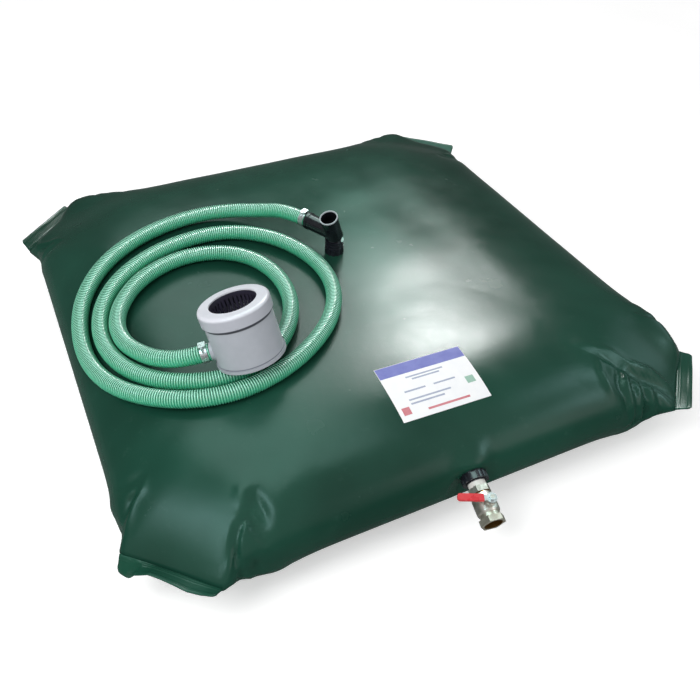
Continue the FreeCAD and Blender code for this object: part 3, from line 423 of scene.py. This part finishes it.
def upper_ring(t):
    """The ring above the seam at an angle t of the section, 0 at the seam."""
    half = between(CROWN_HALF, HALF, max(math.cos(t), 0) ** UPPER_POWER)
    rise = math.sin(t) ** LEVEL_POWER
    corner = between(CROWN_CORNER, SEAM_CORNER, max(1 - rise, 0) ** CORNER_POWER)
    return folded_ring(half, corner, between(SEAM_PANEL, CROWN_PANEL, rise),
                       FOLD_DEPTH * (1 - rise * rise), between(SEAM_RIDGE, CROWN_RIDGE, rise),
                       between(SEAM, HEIGHT, rise))


def lower_ring(t):
    """The ring below the seam at an angle t of the section, 0 at the seam."""
    half = between(FOOT_HALF, HALF, max(math.cos(t), 0) ** LOWER_POWER)
    drop = math.sin(t) ** LEVEL_POWER
    corner = between(FOOT_CORNER, SEAM_CORNER, math.sqrt(max(1 - drop, 0)))
    return folded_ring(half, corner, between(SEAM_PANEL, FOOT_PANEL, drop),
                       FOLD_DEPTH * (1 - drop), between(SEAM_RIDGE, CROWN_RIDGE, drop),
                       SEAM * (1 - drop))


def spaced(maker, count):
    """Rings from the seam inwards, set at even steps along the bag's skin."""
    fine = np.linspace(0, math.pi / 2, SECTION_SAMPLES)
    run = distances(np.array([[r[0, 0], r[0, 2]] for r in (maker(t) for t in fine)]))
    return [maker(float(np.interp(s, run, fine))) for s in np.linspace(0, run[-1], count)]


def bag_grid():
    """Rings of points from the middle of the foot to the middle of the crown."""
    lower = spaced(lower_ring, LOWER_RINGS)[::-1]
    upper = spaced(upper_ring, UPPER_RINGS)[1:]
    crown = [np.column_stack([upper[-1][:, :2] * share, np.full(len(upper[-1]), HEIGHT)])
             for share in np.linspace(1, CROWN_MIDDLE, CROWN_RINGS)[1:]]
    foot = [np.column_stack([lower[0][:, :2] * share, np.zeros(len(lower[0]))])
            for share in FOOT_SHARES]
    return np.array(foot + lower + upper + crown)


# Folds beside the corners' ridges: (line, height, width). A line's points are (distance along a
# side from its middle, distance out from the bag's middle, level).
FLANK_TENT = [
    ([(540, 684, 124), (513, 664, 150), (497, 625, 179), (480, 604, 191)], 4.5, 6.5),
    ([(506, 678, 98), (507, 672, 128), (505, 662, 150), (498, 645, 167), (486, 626, 181),
      (473, 612, 190)], -11.0, 8.5),
    ([(484, 674, 100), (488, 666, 126), (491, 660, 150), (488, 642, 170), (480, 628, 182)],
     7.5, 7.0),
    ([(476, 600, 194), (470, 632, 179), (456, 655, 163)], 6.5, 6.5),
    ([(464, 604, 196), (458, 628, 186), (448, 650, 171), (440, 664, 155)], -9.0, 8.0),
    ([(439, 556, 216), (450, 566, 212), (460, 584, 204), (466, 600, 197)], 5.0, 9.0),
    ([(442, 573, 211), (437, 594, 204), (433, 621, 193), (432, 649, 174)], -8.0, 13.0),
    ([(470, 676, 105), (472, 670, 130), (476, 660, 148)], -5.0, 7.0),
]
FLANK_BRANCH = [
    ([(540, 684, 126), (505, 660, 150), (479, 643, 170), (466, 620, 187), (446, 607, 196)],
     5.5, 6.0),
    ([(492, 664, 146), (470, 645, 170), (460, 628, 184)], -7.0, 8.0),
    ([(440, 669, 146), (456, 643, 175), (460, 621, 188)], 5.0, 6.5),
    ([(424, 668, 150), (440, 640, 180), (442, 612, 196)], -5.0, 11.0),
    ([(505, 676, 95), (502, 672, 120), (494, 666, 142)], -6.0, 8.0),
]
FLANK_FAN = [
    ([(384, 505, 233), (415, 532, 225), (450, 558, 214), (473, 586, 201), (524, 609, 176),
      (548, 634, 154), (566, 655, 132)], 8.5, 10.0),
    ([(411, 547, 222), (447, 579, 208), (485, 620, 183), (528, 642, 160), (550, 662, 134)],
     -11.0, 13.0),
    ([(406, 555, 220), (386, 589, 213), (384, 620, 201), (386, 645, 184)], 5.0, 8.0),
    ([(443, 588, 206), (420, 618, 197), (414, 633, 190), (416, 665, 161), (420, 678, 130)],
     -9.0, 9.0),
    ([(452, 600, 199), (438, 621, 192), (427, 665, 158), (429, 680, 122)], 7.5, 6.5),
    ([(462, 612, 192), (449, 640, 180), (438, 666, 150), (442, 680, 108)], -7.0, 6.5),
    ([(466, 630, 184), (457, 650, 169), (449, 667, 148), (455, 680, 108)], 6.0, 6.5),
    ([(482, 635, 178), (478, 655, 160), (477, 670, 129), (474, 678, 98)], -11.0, 8.5),
    ([(496, 645, 168), (494, 662, 144), (492, 674, 108)], 5.5, 6.5),
    ([(510, 652, 158), (511, 668, 138), (510, 678, 104)], -7.5, 7.5),
]
# Where the filled skin is rounder than the rings: beside a ridge low down, at the seam and high
# up, and over the panel of a back corner
LOW_SWELL = [([(400, 674, 62), (480, 672, 66), (545, 684, 78), (585, 700, 92)], 19.0, 42.0)]
SEAM_SWELL = [([(410, 680, 118), (465, 678, 118), (512, 686, 118)], 11.0, 40.0)]
HIGH_SWELL = [([(400, 655, 165), (480, 650, 168), (550, 655, 150), (590, 672, 138)], 23.0, 48.0)]
PANEL_SWELL = [([(480, 690, 150), (594, 594, 165), (690, 480, 150)], 24.0, 50.0)]
# What is laid at each corner: (sign of x, sign of y, whether it is on the bag's left or right
# side rather than on its front or back, lines, strength)
CORNER_FOLDS = [
    (-1, -1, False, LOW_SWELL, 1.0), (-1, -1, True, SEAM_SWELL, 1.0),
    (1, -1, False, LOW_SWELL, 0.9), (1, -1, True, HIGH_SWELL, 1.0),
    (1, 1, False, HIGH_SWELL, 0.9), (-1, 1, False, HIGH_SWELL, 1.0),
    (1, 1, False, PANEL_SWELL, 1.0), (-1, 1, False, PANEL_SWELL, 0.6),
    (-1, -1, False, FLANK_TENT, 1.15), (-1, -1, True, FLANK_BRANCH, 1.0),
    (1, -1, False, FLANK_FAN, 1.3), (1, -1, True, FLANK_BRANCH, 0.45),
    (-1, 1, False, FLANK_BRANCH, 0.3), (-1, 1, True, FLANK_BRANCH, 1.0),
    (1, 1, False, FLANK_BRANCH, 0.25), (1, 1, True, FLANK_TENT, 0.5),
]

# How a fold fades: the part of a half sine that it leaves out at each end, and the powers of its
# fade along the line and of its crest across it
FOLD_END, FADE_POWER, CREST_POWER = 0.03, 0.6, 1.6


def fold_height(points, line, height, width):
    """How far a fold lifts each point: a soft crest along the line, fading at its ends."""
    near = np.full(len(points), np.inf)
    place = np.zeros(len(points))
    run = distances(line)
    for start, end, done, far in zip(line, line[1:], run, run[1:]):
        way = (end - start) / (far - done)
        along = np.clip((points - start) @ way, 0, far - done)
        gap = np.linalg.norm(points - start - along[:, None] * way, axis=1)
        closer = gap < near
        near[closer] = gap[closer]
        place[closer] = (done + along[closer]) / run[-1]
    fade = np.sin(np.pi * np.clip(place * (1 - 2 * FOLD_END) + FOLD_END, 0, 1)) ** FADE_POWER
    return height * fade * np.exp(-((near / width) ** CREST_POWER))


def corner_lift(points):
    """How far the corners' folds and swells lift each point."""
    lift = np.zeros(len(points))
    for sx, sy, swap, flank, strength in CORNER_FOLDS:
        for line, height, width in flank:
            laid = np.array([((q, p, z) if swap else (p, q, z)) for p, q, z in line], float)
            laid[:, 0] *= sx
            laid[:, 1] *= sy
            lift += fold_height(points, laid, height * strength, width)
    return lift


def grid_normals(grid):
    """Outward normals of a closed grid of rings that run from the foot to the crown."""
    around = np.roll(grid, -1, axis=1) - np.roll(grid, 1, axis=1)
    up = np.gradient(grid, axis=0)
    normal = np.cross(around, up)
    return normal / np.maximum(np.linalg.norm(normal, axis=2, keepdims=True), 1e-9)


TEE_FOOT, TEE_CALM = (17.0, 36.0), 90
LABEL_MIDDLE, LABEL_CALM = (7.5, 195.5 - HALF), 170
WAVE_DEPTH, SMALL_WAVES, CALM_FADE = 0.8, 0.6, 180
# The waves start at one level and are full a fade higher; folds stay clear of the flat foot
WAVES_FROM, WAVES_FADE, FOLDS_FROM = 150, 60, 1.0
# The outlet's seat: its middle, its way, its radius, the fade inside it, and how far in and out
# of the bag it reaches
OUTLET_SEAT = np.array([8.0, -670.0, 134.0])
OUTLET_WAY = np.array([-0.144021, -0.963667, -0.224951])
SEAT_RADIUS, SEAT_FADE, SEAT_REACH = 62, 27, 60


def skin_waves(points):
    """Slow dents of the filled skin, never outwards, and none where parts sit on it."""
    x, y = points[:, 0], points[:, 1]
    waves = (np.sin(x / 83 + y / 131 + 0.7) * np.sin(y / 97 - x / 171 + 1.9)
             + SMALL_WAVES * np.sin(x / 47 - y / 61 + 2.3) * np.sin(y / 53 + x / 79))
    calm = np.ones(len(points))
    for (px, py), radius in ((TEE_FOOT, TEE_CALM), (LABEL_MIDDLE, LABEL_CALM)):
        gap = np.hypot(x - px, y - py)
        calm *= np.clip((gap - radius) / CALM_FADE, 0, 1)
    return WAVE_DEPTH * (waves - (1 + SMALL_WAVES)) * calm


def seat_pressed(points):
    """The points, with those round the outlet pressed flat for its ring nut."""
    offset = points - OUTLET_SEAT
    height = offset @ OUTLET_WAY
    gap = np.linalg.norm(offset - height[:, None] * OUTLET_WAY, axis=1)
    share = np.clip((SEAT_RADIUS - gap) / SEAT_FADE, 0, 1) * (np.abs(height) < SEAT_REACH)
    share = share * share * (3 - 2 * share)
    return points - (height * share)[:, None] * OUTLET_WAY


grid = bag_grid()
rows, columns = grid.shape[:2]
skin = grid.reshape(-1, 3).copy()
above = skin[:, 2] > FOLDS_FROM
skin[above] += (grid_normals(grid).reshape(-1, 3) * corner_lift(skin)[:, None])[above]
skin[:, 2] += skin_waves(skin) * np.clip((skin[:, 2] - WAVES_FROM) / WAVES_FADE, 0, 1)
skin = seat_pressed(skin)
bag_faces = strip_faces(rows, columns, True)
bag_faces.append(tuple(range(columns))[::-1])
bag_faces.append(tuple(range((rows - 1) * columns, rows * columns)))
bag = mesh_piece("bag_skin", skin / 1000, bag_faces, [BAG])
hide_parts("tank_envelope")


# Weld flaps at the four corners, in millimetres

FLAP_LENGTH, FLAP_WIDTH, FLAP_ROOT, FLAP_HALF = 214.0, 35.0, 20.0, 1.3
FLAP_COLUMNS, FLAP_ROWS = 56, 36
END_ROUND, END_PULL = 7, 6
WELD_LINES, WELD_HEIGHT, WELD_WIDTH = (3.5, 8.5, 27.0, 30.5), 0.8, 1.1
FLAP_WAVE, FLAP_WAVE_TURNS = 1.1, 11
DROOP_PLACES = np.linspace(0, 1, 9)
# Each flap's corner, how many degrees it droops at nine places along it, and how far it is raised
FLAPS = [
    ("weld_flap_front_left", -1, -1, (60, 34, -16, -32, -32, -30, -24, -26, -35), 0.0),
    ("weld_flap_front_right", 1, -1, (-24, -21, -18, -14, -11, -8, -5, -1, 2), 0.0),
    ("weld_flap_back_left", -1, 1, (-40, -43, -45, -47, -50, -53, -55, -58, -60), 0.0),
    ("weld_flap_back_right", 1, 1, (-38, -38, -37, -37, -36, -36, -35, -35, -34), 14.0),
]


def flap(name, sx, sy, droops, raised):
    """A welded tab outside a corner: heat-weld lines along it, twisted from end to end."""
    out = np.array([sx, sy, 0]) / math.sqrt(2)
    along = np.cross((0, 0, 1), out)
    upright = np.array([0.0, 0.0, 1.0])
    columns, rows = FLAP_COLUMNS + 1, FLAP_ROWS + 1
    points = []
    for side in (1, -1):
        for j in range(rows):
            v = -FLAP_ROOT + (FLAP_ROOT + FLAP_WIDTH) * j / FLAP_ROWS
            bead = sum(WELD_HEIGHT * math.exp(-((v - weld) / WELD_WIDTH) ** 2)
                       for weld in WELD_LINES)
            for i in range(columns):
                share = i / FLAP_COLUMNS
                u = FLAP_LENGTH * (share - 0.5)
                droop = math.radians(float(np.interp(share, DROOP_PLACES, droops)))
                end = max(abs(u) - FLAP_LENGTH / 2 + END_ROUND, 0) / END_ROUND
                pull = (END_PULL * (1 - math.sqrt(max(1 - end * end, 0)))
                        * max(v, 0) / FLAP_WIDTH)
                bent = max(v - pull, 0)
                wave = (FLAP_WAVE * math.sin(FLAP_WAVE_TURNS * share + 2 * sx + sy)
                        * bent / FLAP_WIDTH)
                down = np.sin(droop) * out + np.cos(droop) * upright
                points.append(out * (SEAM_CORNER + min(v, 0) + bent * math.cos(droop))
                              + along * u + upright * (SEAM + raised - bent * math.sin(droop))
                              + down * (wave + side * (FLAP_HALF + bead)))
    size = columns * rows
    rim = (list(range(columns)) + [(j + 1) * columns - 1 for j in range(1, rows)]
           + [FLAP_ROWS * columns + i for i in range(FLAP_COLUMNS - 1, -1, -1)]
           + [j * columns for j in range(FLAP_ROWS - 1, 0, -1)])
    wall = [(a, size + a, size + b, b) for a, b in zip(rim, rim[1:] + rim[:1])]
    mesh_piece(name, np.array(points) / 1000, layer_faces(rows, columns) + wall, [FLAP])


for flap_facts in FLAPS:
    flap(*flap_facts)


# Hose: its route in metres, as the solids have it

HOSE_POINTS = [
    (-0.057, 0.180, 0.305), (-0.112, 0.240, 0.284), (-0.182, 0.295, 0.270),
    (-0.268, 0.314, 0.265), (-0.370, 0.296, 0.265), (-0.471, 0.254, 0.261),
    (-0.557, 0.191, 0.248), (-0.618, 0.107, 0.227), (-0.645, 0.004, 0.211),
    (-0.644, -0.105, 0.212), (-0.614, -0.210, 0.229), (-0.552, -0.297, 0.249),
    (-0.470, -0.352, 0.261), (-0.376, -0.368, 0.264), (-0.270, -0.344, 0.265),
    (-0.173, -0.287, 0.265), (-0.098, -0.211, 0.265), (-0.055, -0.117, 0.265),
    (-0.051, -0.011, 0.265), (-0.088, 0.095, 0.265), (-0.153, 0.172, 0.265),
    (-0.235, 0.211, 0.265), (-0.329, 0.211, 0.265), (-0.435, 0.179, 0.264),
    (-0.528, 0.120, 0.253), (-0.585, 0.042, 0.239), (-0.605, -0.054, 0.231),
    (-0.587, -0.161, 0.239), (-0.533, -0.250, 0.252), (-0.462, -0.301, 0.262),
    (-0.388, -0.321, 0.265), (-0.311, -0.306, 0.265), (-0.231, -0.243, 0.265),
    (-0.176, -0.152, 0.265), (-0.160, -0.046, 0.265), (-0.184, 0.048, 0.265),
    (-0.236, 0.110, 0.265), (-0.306, 0.137, 0.265), (-0.383, 0.135, 0.265),
    (-0.473, 0.098, 0.261), (-0.536, 0.034, 0.251), (-0.564, -0.040, 0.250),
    (-0.562, -0.112, 0.255), (-0.540, -0.172, 0.267), (-0.512, -0.222, 0.281),
]
HOSE_EXIT = (-0.023506, 0.109801, 0.305156)
HOSE_TURN_IN = (-0.46479, -0.258437, 0.292994)
HOSE_FAR_END = (-0.410184, -0.272788, 0.306259)
HOSE_RADIUS = 0.019
# The spiral: the length of one turn, its height over the wall at the steps of that length, and
# the steps that have the rib's material
RIB_PITCH = 0.0054
RIB_TOP = 0.00115
RIB_HEIGHTS = (0.0, 0.0, 0.00075, RIB_TOP, 0.00075)
RIB_STEPS = (2, 3)
STEPS, SIDES = len(RIB_HEIGHTS), 20
SPLINE_STEPS = 24
WAY_STEP = 0.004


def spline_points(name, points):
    """Points along the smooth spline that has these points as its control points."""
    curve = bpy.data.curves.new(name, "CURVE")
    curve.dimensions = "3D"
    spline = curve.splines.new("NURBS")
    spline.points.add(len(points) - 1)
    for point, place in zip(spline.points, points):
        point.co = (*place, 1)
    spline.order_u = 3
    spline.use_endpoint_u = True
    spline.resolution_u = SPLINE_STEPS
    holder = bpy.data.objects.new(name, curve)
    mesh = bpy.data.meshes.new_from_object(holder)
    line = np.array([v.co[:] for v in mesh.vertices])
    bpy.data.meshes.remove(mesh)
    bpy.data.objects.remove(holder)
    return line


def along_line(line, places):
    """Points and ways along a line of points, at distances from its start."""
    run = distances(line)

    def reach(places):
        return np.stack([np.interp(places, run, line[:, k]) for k in range(3)], 1)

    way = reach(places + WAY_STEP) - reach(places - WAY_STEP)
    return reach(places), way / np.linalg.norm(way, axis=1, keepdims=True)


def ribbed_tube(name, line, materials):
    """A tube whose raised rib winds round it as a helix."""
    length = distances(line)[-1]
    turns = int(length / RIB_PITCH)
    pitch = length / turns
    samples = np.linspace(0, length, turns * STEPS + 1)
    last = len(samples) - 1
    middle, way = along_line(line, samples)
    side = np.zeros_like(way)
    across = np.cross(way[0], (0, 0, 1))
    for k, direction in enumerate(way):
        across = across - direction * across.dot(direction)
        across /= np.linalg.norm(across)
        side[k] = across
    points = []
    for k, sample in enumerate(samples):
        radius = HOSE_RADIUS - RIB_TOP + RIB_HEIGHTS[k % STEPS]
        for j in range(SIDES):
            at = min(sample + pitch * j / SIDES, length) / length * last
            low = min(int(at), last - 1)
            share = at - low
            centre = middle[low] * (1 - share) + middle[low + 1] * share
            out = side[low] * (1 - share) + side[low + 1] * share
            over = np.cross(way[low], out)
            angle = 2 * math.pi * j / SIDES
            points.append(centre + (out * math.cos(angle) + over * math.sin(angle)) * radius)
    faces, marks = [], []
    for k in range(last):
        for j in range(SIDES):
            a = k * SIDES + j
            b = a + 1
            if j == SIDES - 1:
                if k + STEPS >= last:
                    continue
                b = (k + STEPS) * SIDES
            faces.append((a, b, b + SIDES, a + SIDES))
            marks.append(1 if k % STEPS in RIB_STEPS else 0)
    return mesh_piece(name, points, faces, materials, marks)


hose_line = spline_points("hose_line", [HOSE_EXIT, *HOSE_POINTS, HOSE_TURN_IN, HOSE_FAR_END])
hose = ribbed_tube("ribbed_hose", hose_line, [WALL, RIB])
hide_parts("inlet_hose")


# Printed fields on the label, plain colours only, in millimetres

LABEL_TURN = math.radians(-1.7)
LABEL_TOP, PRINT_HEIGHT = 0.9, 0.12
CELL_WIDTH, CELL_DEPTH = 8, 6
FIELDS = [
    ("label_band_top", -104, 42, 104, 73, BAND),
    ("label_line_a", -50, 28, 40, 32, FIELD),
    ("label_line_b", -38, 20, 28, 24, FIELD),
    ("label_line_c", -70, -8, -20, -4, FIELD),
    ("label_line_d", 0, -8, 52, -4, FIELD),
    ("label_line_e", -70, -30, 30, -26, FIELD),
    ("label_line_f", -70, -40, 10, -36, FIELD),
    ("label_square_left", -96, -60, -78, -42, ACCENT),
    ("label_square_right", 72, -30, 92, -12, GREEN_FIELD),
    ("label_base_line", -40, -62, 60, -57, ACCENT),
]


def crown_level(distance):
    """The bag's level at this distance from its middle, on its front."""
    share = min(max((distance - CROWN_HALF) / (HALF - CROWN_HALF), 0), 1) ** (1 / UPPER_POWER)
    return SEAM + (HEIGHT - SEAM) * math.sqrt(max(1 - share * share, 0)) ** LEVEL_POWER


def label_field(name, left, low, right, high, material):
    """A printed field, from its left and low edges to its right and high ones."""
    columns = max(int((right - left) / CELL_WIDTH), 2)
    rows = max(int((high - low) / CELL_DEPTH), 2)
    points = []
    for layer in (PRINT_HEIGHT, 0.0):
        for j in range(rows + 1):
            for i in range(columns + 1):
                u = left + (right - left) * i / columns
                v = low + (high - low) * j / rows
                x = LABEL_MIDDLE[0] + u * math.cos(LABEL_TURN) - v * math.sin(LABEL_TURN)
                y = LABEL_MIDDLE[1] + u * math.sin(LABEL_TURN) + v * math.cos(LABEL_TURN)
                points.append((x, y, crown_level(-y) + LABEL_TOP + layer))
    mesh_piece(name, np.array(points) / 1000, layer_faces(rows + 1, columns + 1), [material])


for field_facts in FIELDS:
    label_field(*field_facts)


# Floor, light and camera

FLOOR_GLOW = 0.4
FLOOR_LEVEL = -0.0005
FLOOR_CORNERS = ((-8, -8), (8, -8), (8, 10), (-8, 10))
FLOOR_MIRRORED = "7d8280"
PURE_WHITE = (1, 1, 1, 1)
WORLD_LIGHT = 0.6
# What gloss sees of the world: dim near the floor, and a dome above it that is dimmer behind
# the bag than in front of it. The ranges are a ray's share of up, and of towards the back.
DOME_LOW, DOME_FRONT, DOME_BACK = 0.12, 0.7, 0.16
DOME_UP, DOME_BACKWARD = (0.05, 0.5), (-0.25, 0.35)


def floor_material():
    """A pale floor that glows for the camera only, and that gloss sees as grey."""
    n = Surface("studio_floor")
    rays = n.node("LightPath").outputs
    tone = n.mix(rays["Is Glossy Ray"], n.mottled("f4f4f4", "f8f8f8", 2, 2),
                 srgb(FLOOR_MIRRORED))
    return n.finished(Base_Color=tone, Roughness=0.95, Specular_IOR_Level=0.0,
                      Emission_Color=PURE_WHITE,
                      Emission_Strength=n.calc("MULTIPLY", rays["Is Camera Ray"], FLOOR_GLOW))


floor_mesh = bpy.data.meshes.new("studio_floor")
floor_mesh.from_pydata([(x, y, FLOOR_LEVEL) for x, y in FLOOR_CORNERS], [], [(0, 1, 2, 3)])
floor_mesh.materials.append(floor_material())
floor = bpy.data.objects.new("studio_floor", floor_mesh)
SCENE.collection.objects.link(floor)


def lamp(name, place, target, width, depth, power, colour=(1, 1, 1)):
    """A soft rectangular light at a place, shining at a target."""
    light = bpy.data.lights.new(name, "AREA")
    light.shape = "RECTANGLE"
    light.size = width
    light.size_y = depth
    light.energy = power
    light.color = colour
    holder = bpy.data.objects.new(name, light)
    holder.location = place
    way = Vector(target) - Vector(place)
    holder.rotation_euler = way.to_track_quat("-Z", "Y").to_euler()
    SCENE.collection.objects.link(holder)
    return holder


# Lights that only gloss mirrors, so that they add no light to dull surfaces. Those at the
# ceiling shine down: (name, x range, y range, power, colour). They lean a hair towards the back,
# which keeps their depth along y.
CEILING, HAIR = 1.85, 0.001
CEILING_LAMPS = [
    ("window_light", (0.98, 1.42), (0.66, 1.6), 80, (0.98, 1, 0.99)),
    ("window_light_far", (1.02, 1.42), (1.6, 2.4), 10, (0.5, 1, 0.85)),
    ("window_light_left", (0.45, 1.0), (0.6, 2.0), 17, (0.88, 1, 0.97)),
    ("window_light_side", (-0.6, 0.5), (0.8, 3.0), 28, (0.72, 1, 0.93)),
    ("window_light_near", (-0.9, 0.4), (-0.6, 0.8), 26, (0.66, 1, 0.94)),
    ("window_light_corner", (-1.9, -1.1), (-1.1, -0.4), 12, (0.6, 0.95, 1.0)),
    ("window_light_right", (1.35, 1.85), (-0.85, -0.4), 4, (0.6, 0.95, 1.0)),
]
for name, x_range, y_range, power, colour in CEILING_LAMPS:
    place = (sum(x_range) / 2, sum(y_range) / 2, CEILING)
    lamp(name, place, (place[0], place[1] + HAIR, 0), x_range[1] - x_range[0],
         y_range[1] - y_range[0], power, colour).visible_diffuse = False
# The same kind of light beside the front right corner: (name, place, width, depth, power)
CORNER_TARGET, CORNER_TINT = (0.6, -0.6, 0.15), (0.62, 0.96, 1)
CORNER_LAMPS = [
    ("side_light", (2.8, -0.2, 0.85), 1.2, 0.8, 3.0),
    ("corner_light_high", (1.95, -1.3, 1.65), 0.9, 0.7, 11.0),
]
for name, place, width, depth, power in CORNER_LAMPS:
    lamp(name, place, CORNER_TARGET, width, depth, power, CORNER_TINT).visible_diffuse = False
# Lights for dull surfaces; gloss mirrors only the second of them
lamp("key_light", (-1.8, -0.9, 2.3), (-0.3, -0.3, 0.1), 1.4, 1.4, 37).visible_glossy = False
lamp("fill_light", (1.6, -2.6, 1.9), (0, -0.3, 0.1), 1.4, 1.4, 8)


def studio_world():
    """White for the camera and through clear parts, a dome for gloss, plain light for the rest."""
    world = bpy.data.worlds.new("studio")
    world.use_nodes = True
    n = Nodes(world.node_tree)
    n.tree.nodes.clear()
    way = n.node("SeparateXYZ", {0: n.node("TexCoord").outputs["Generated"]}).outputs
    rays = n.node("LightPath").outputs
    high = n.ramp(way["Y"], DOME_FRONT, DOME_BACK, *DOME_BACKWARD,
                  interpolation_type="SMOOTHSTEP")
    dome = n.ramp(way["Z"], DOME_LOW, high, *DOME_UP, interpolation_type="SMOOTHSTEP")
    strength = n.node("Mix", {0: rays["Is Glossy Ray"], 2: 1.0, 3: dome}).outputs[0]
    seen = n.node("Background", {"Color": PURE_WHITE, "Strength": strength})
    light_only = n.node("Background", {"Color": PURE_WHITE, "Strength": WORLD_LIGHT})
    share = rays["Is Camera Ray"]
    for kind in ("Is Glossy Ray", "Is Transmission Ray"):
        share = n.calc("MAXIMUM", share, rays[kind])
    mixer = n.node("MixShader", {0: share, 1: light_only.outputs[0], 2: seen.outputs[0]})
    n.node("OutputWorld", {"Surface": mixer.outputs[0]})
    return world


SCENE.world = studio_world()

# The photograph's camera, as fitted to it
PHOTO_SIDE, FOCAL_PIXELS, SENSOR_MM = 700, 758.8, 36
CAMERA_PLACE = (-0.6827, -1.4443, 1.3722)
AZIMUTH, ELEVATION, ROLL = (math.radians(a) for a in (-27.03, 41.93, 1.90))
forward = Vector((-math.sin(AZIMUTH) * math.cos(ELEVATION),
                  math.cos(AZIMUTH) * math.cos(ELEVATION), -math.sin(ELEVATION)))
level = Vector((math.cos(AZIMUTH), math.sin(AZIMUTH), 0))
upward = level.cross(forward)
right = level * math.cos(ROLL) + upward * math.sin(ROLL)
upward = upward * math.cos(ROLL) - level * math.sin(ROLL)
camera_data = bpy.data.cameras.new("camera")
camera_data.sensor_width = SENSOR_MM
camera_data.lens = FOCAL_PIXELS / PHOTO_SIDE * SENSOR_MM
camera = bpy.data.objects.new("camera", camera_data)
turn = Matrix((right, upward, -forward)).transposed().to_4x4()
camera.matrix_world = Matrix.Translation(CAMERA_PLACE) @ turn
SCENE.collection.objects.link(camera)
SCENE.camera = camera
SCENE.view_settings.view_transform = "Standard"
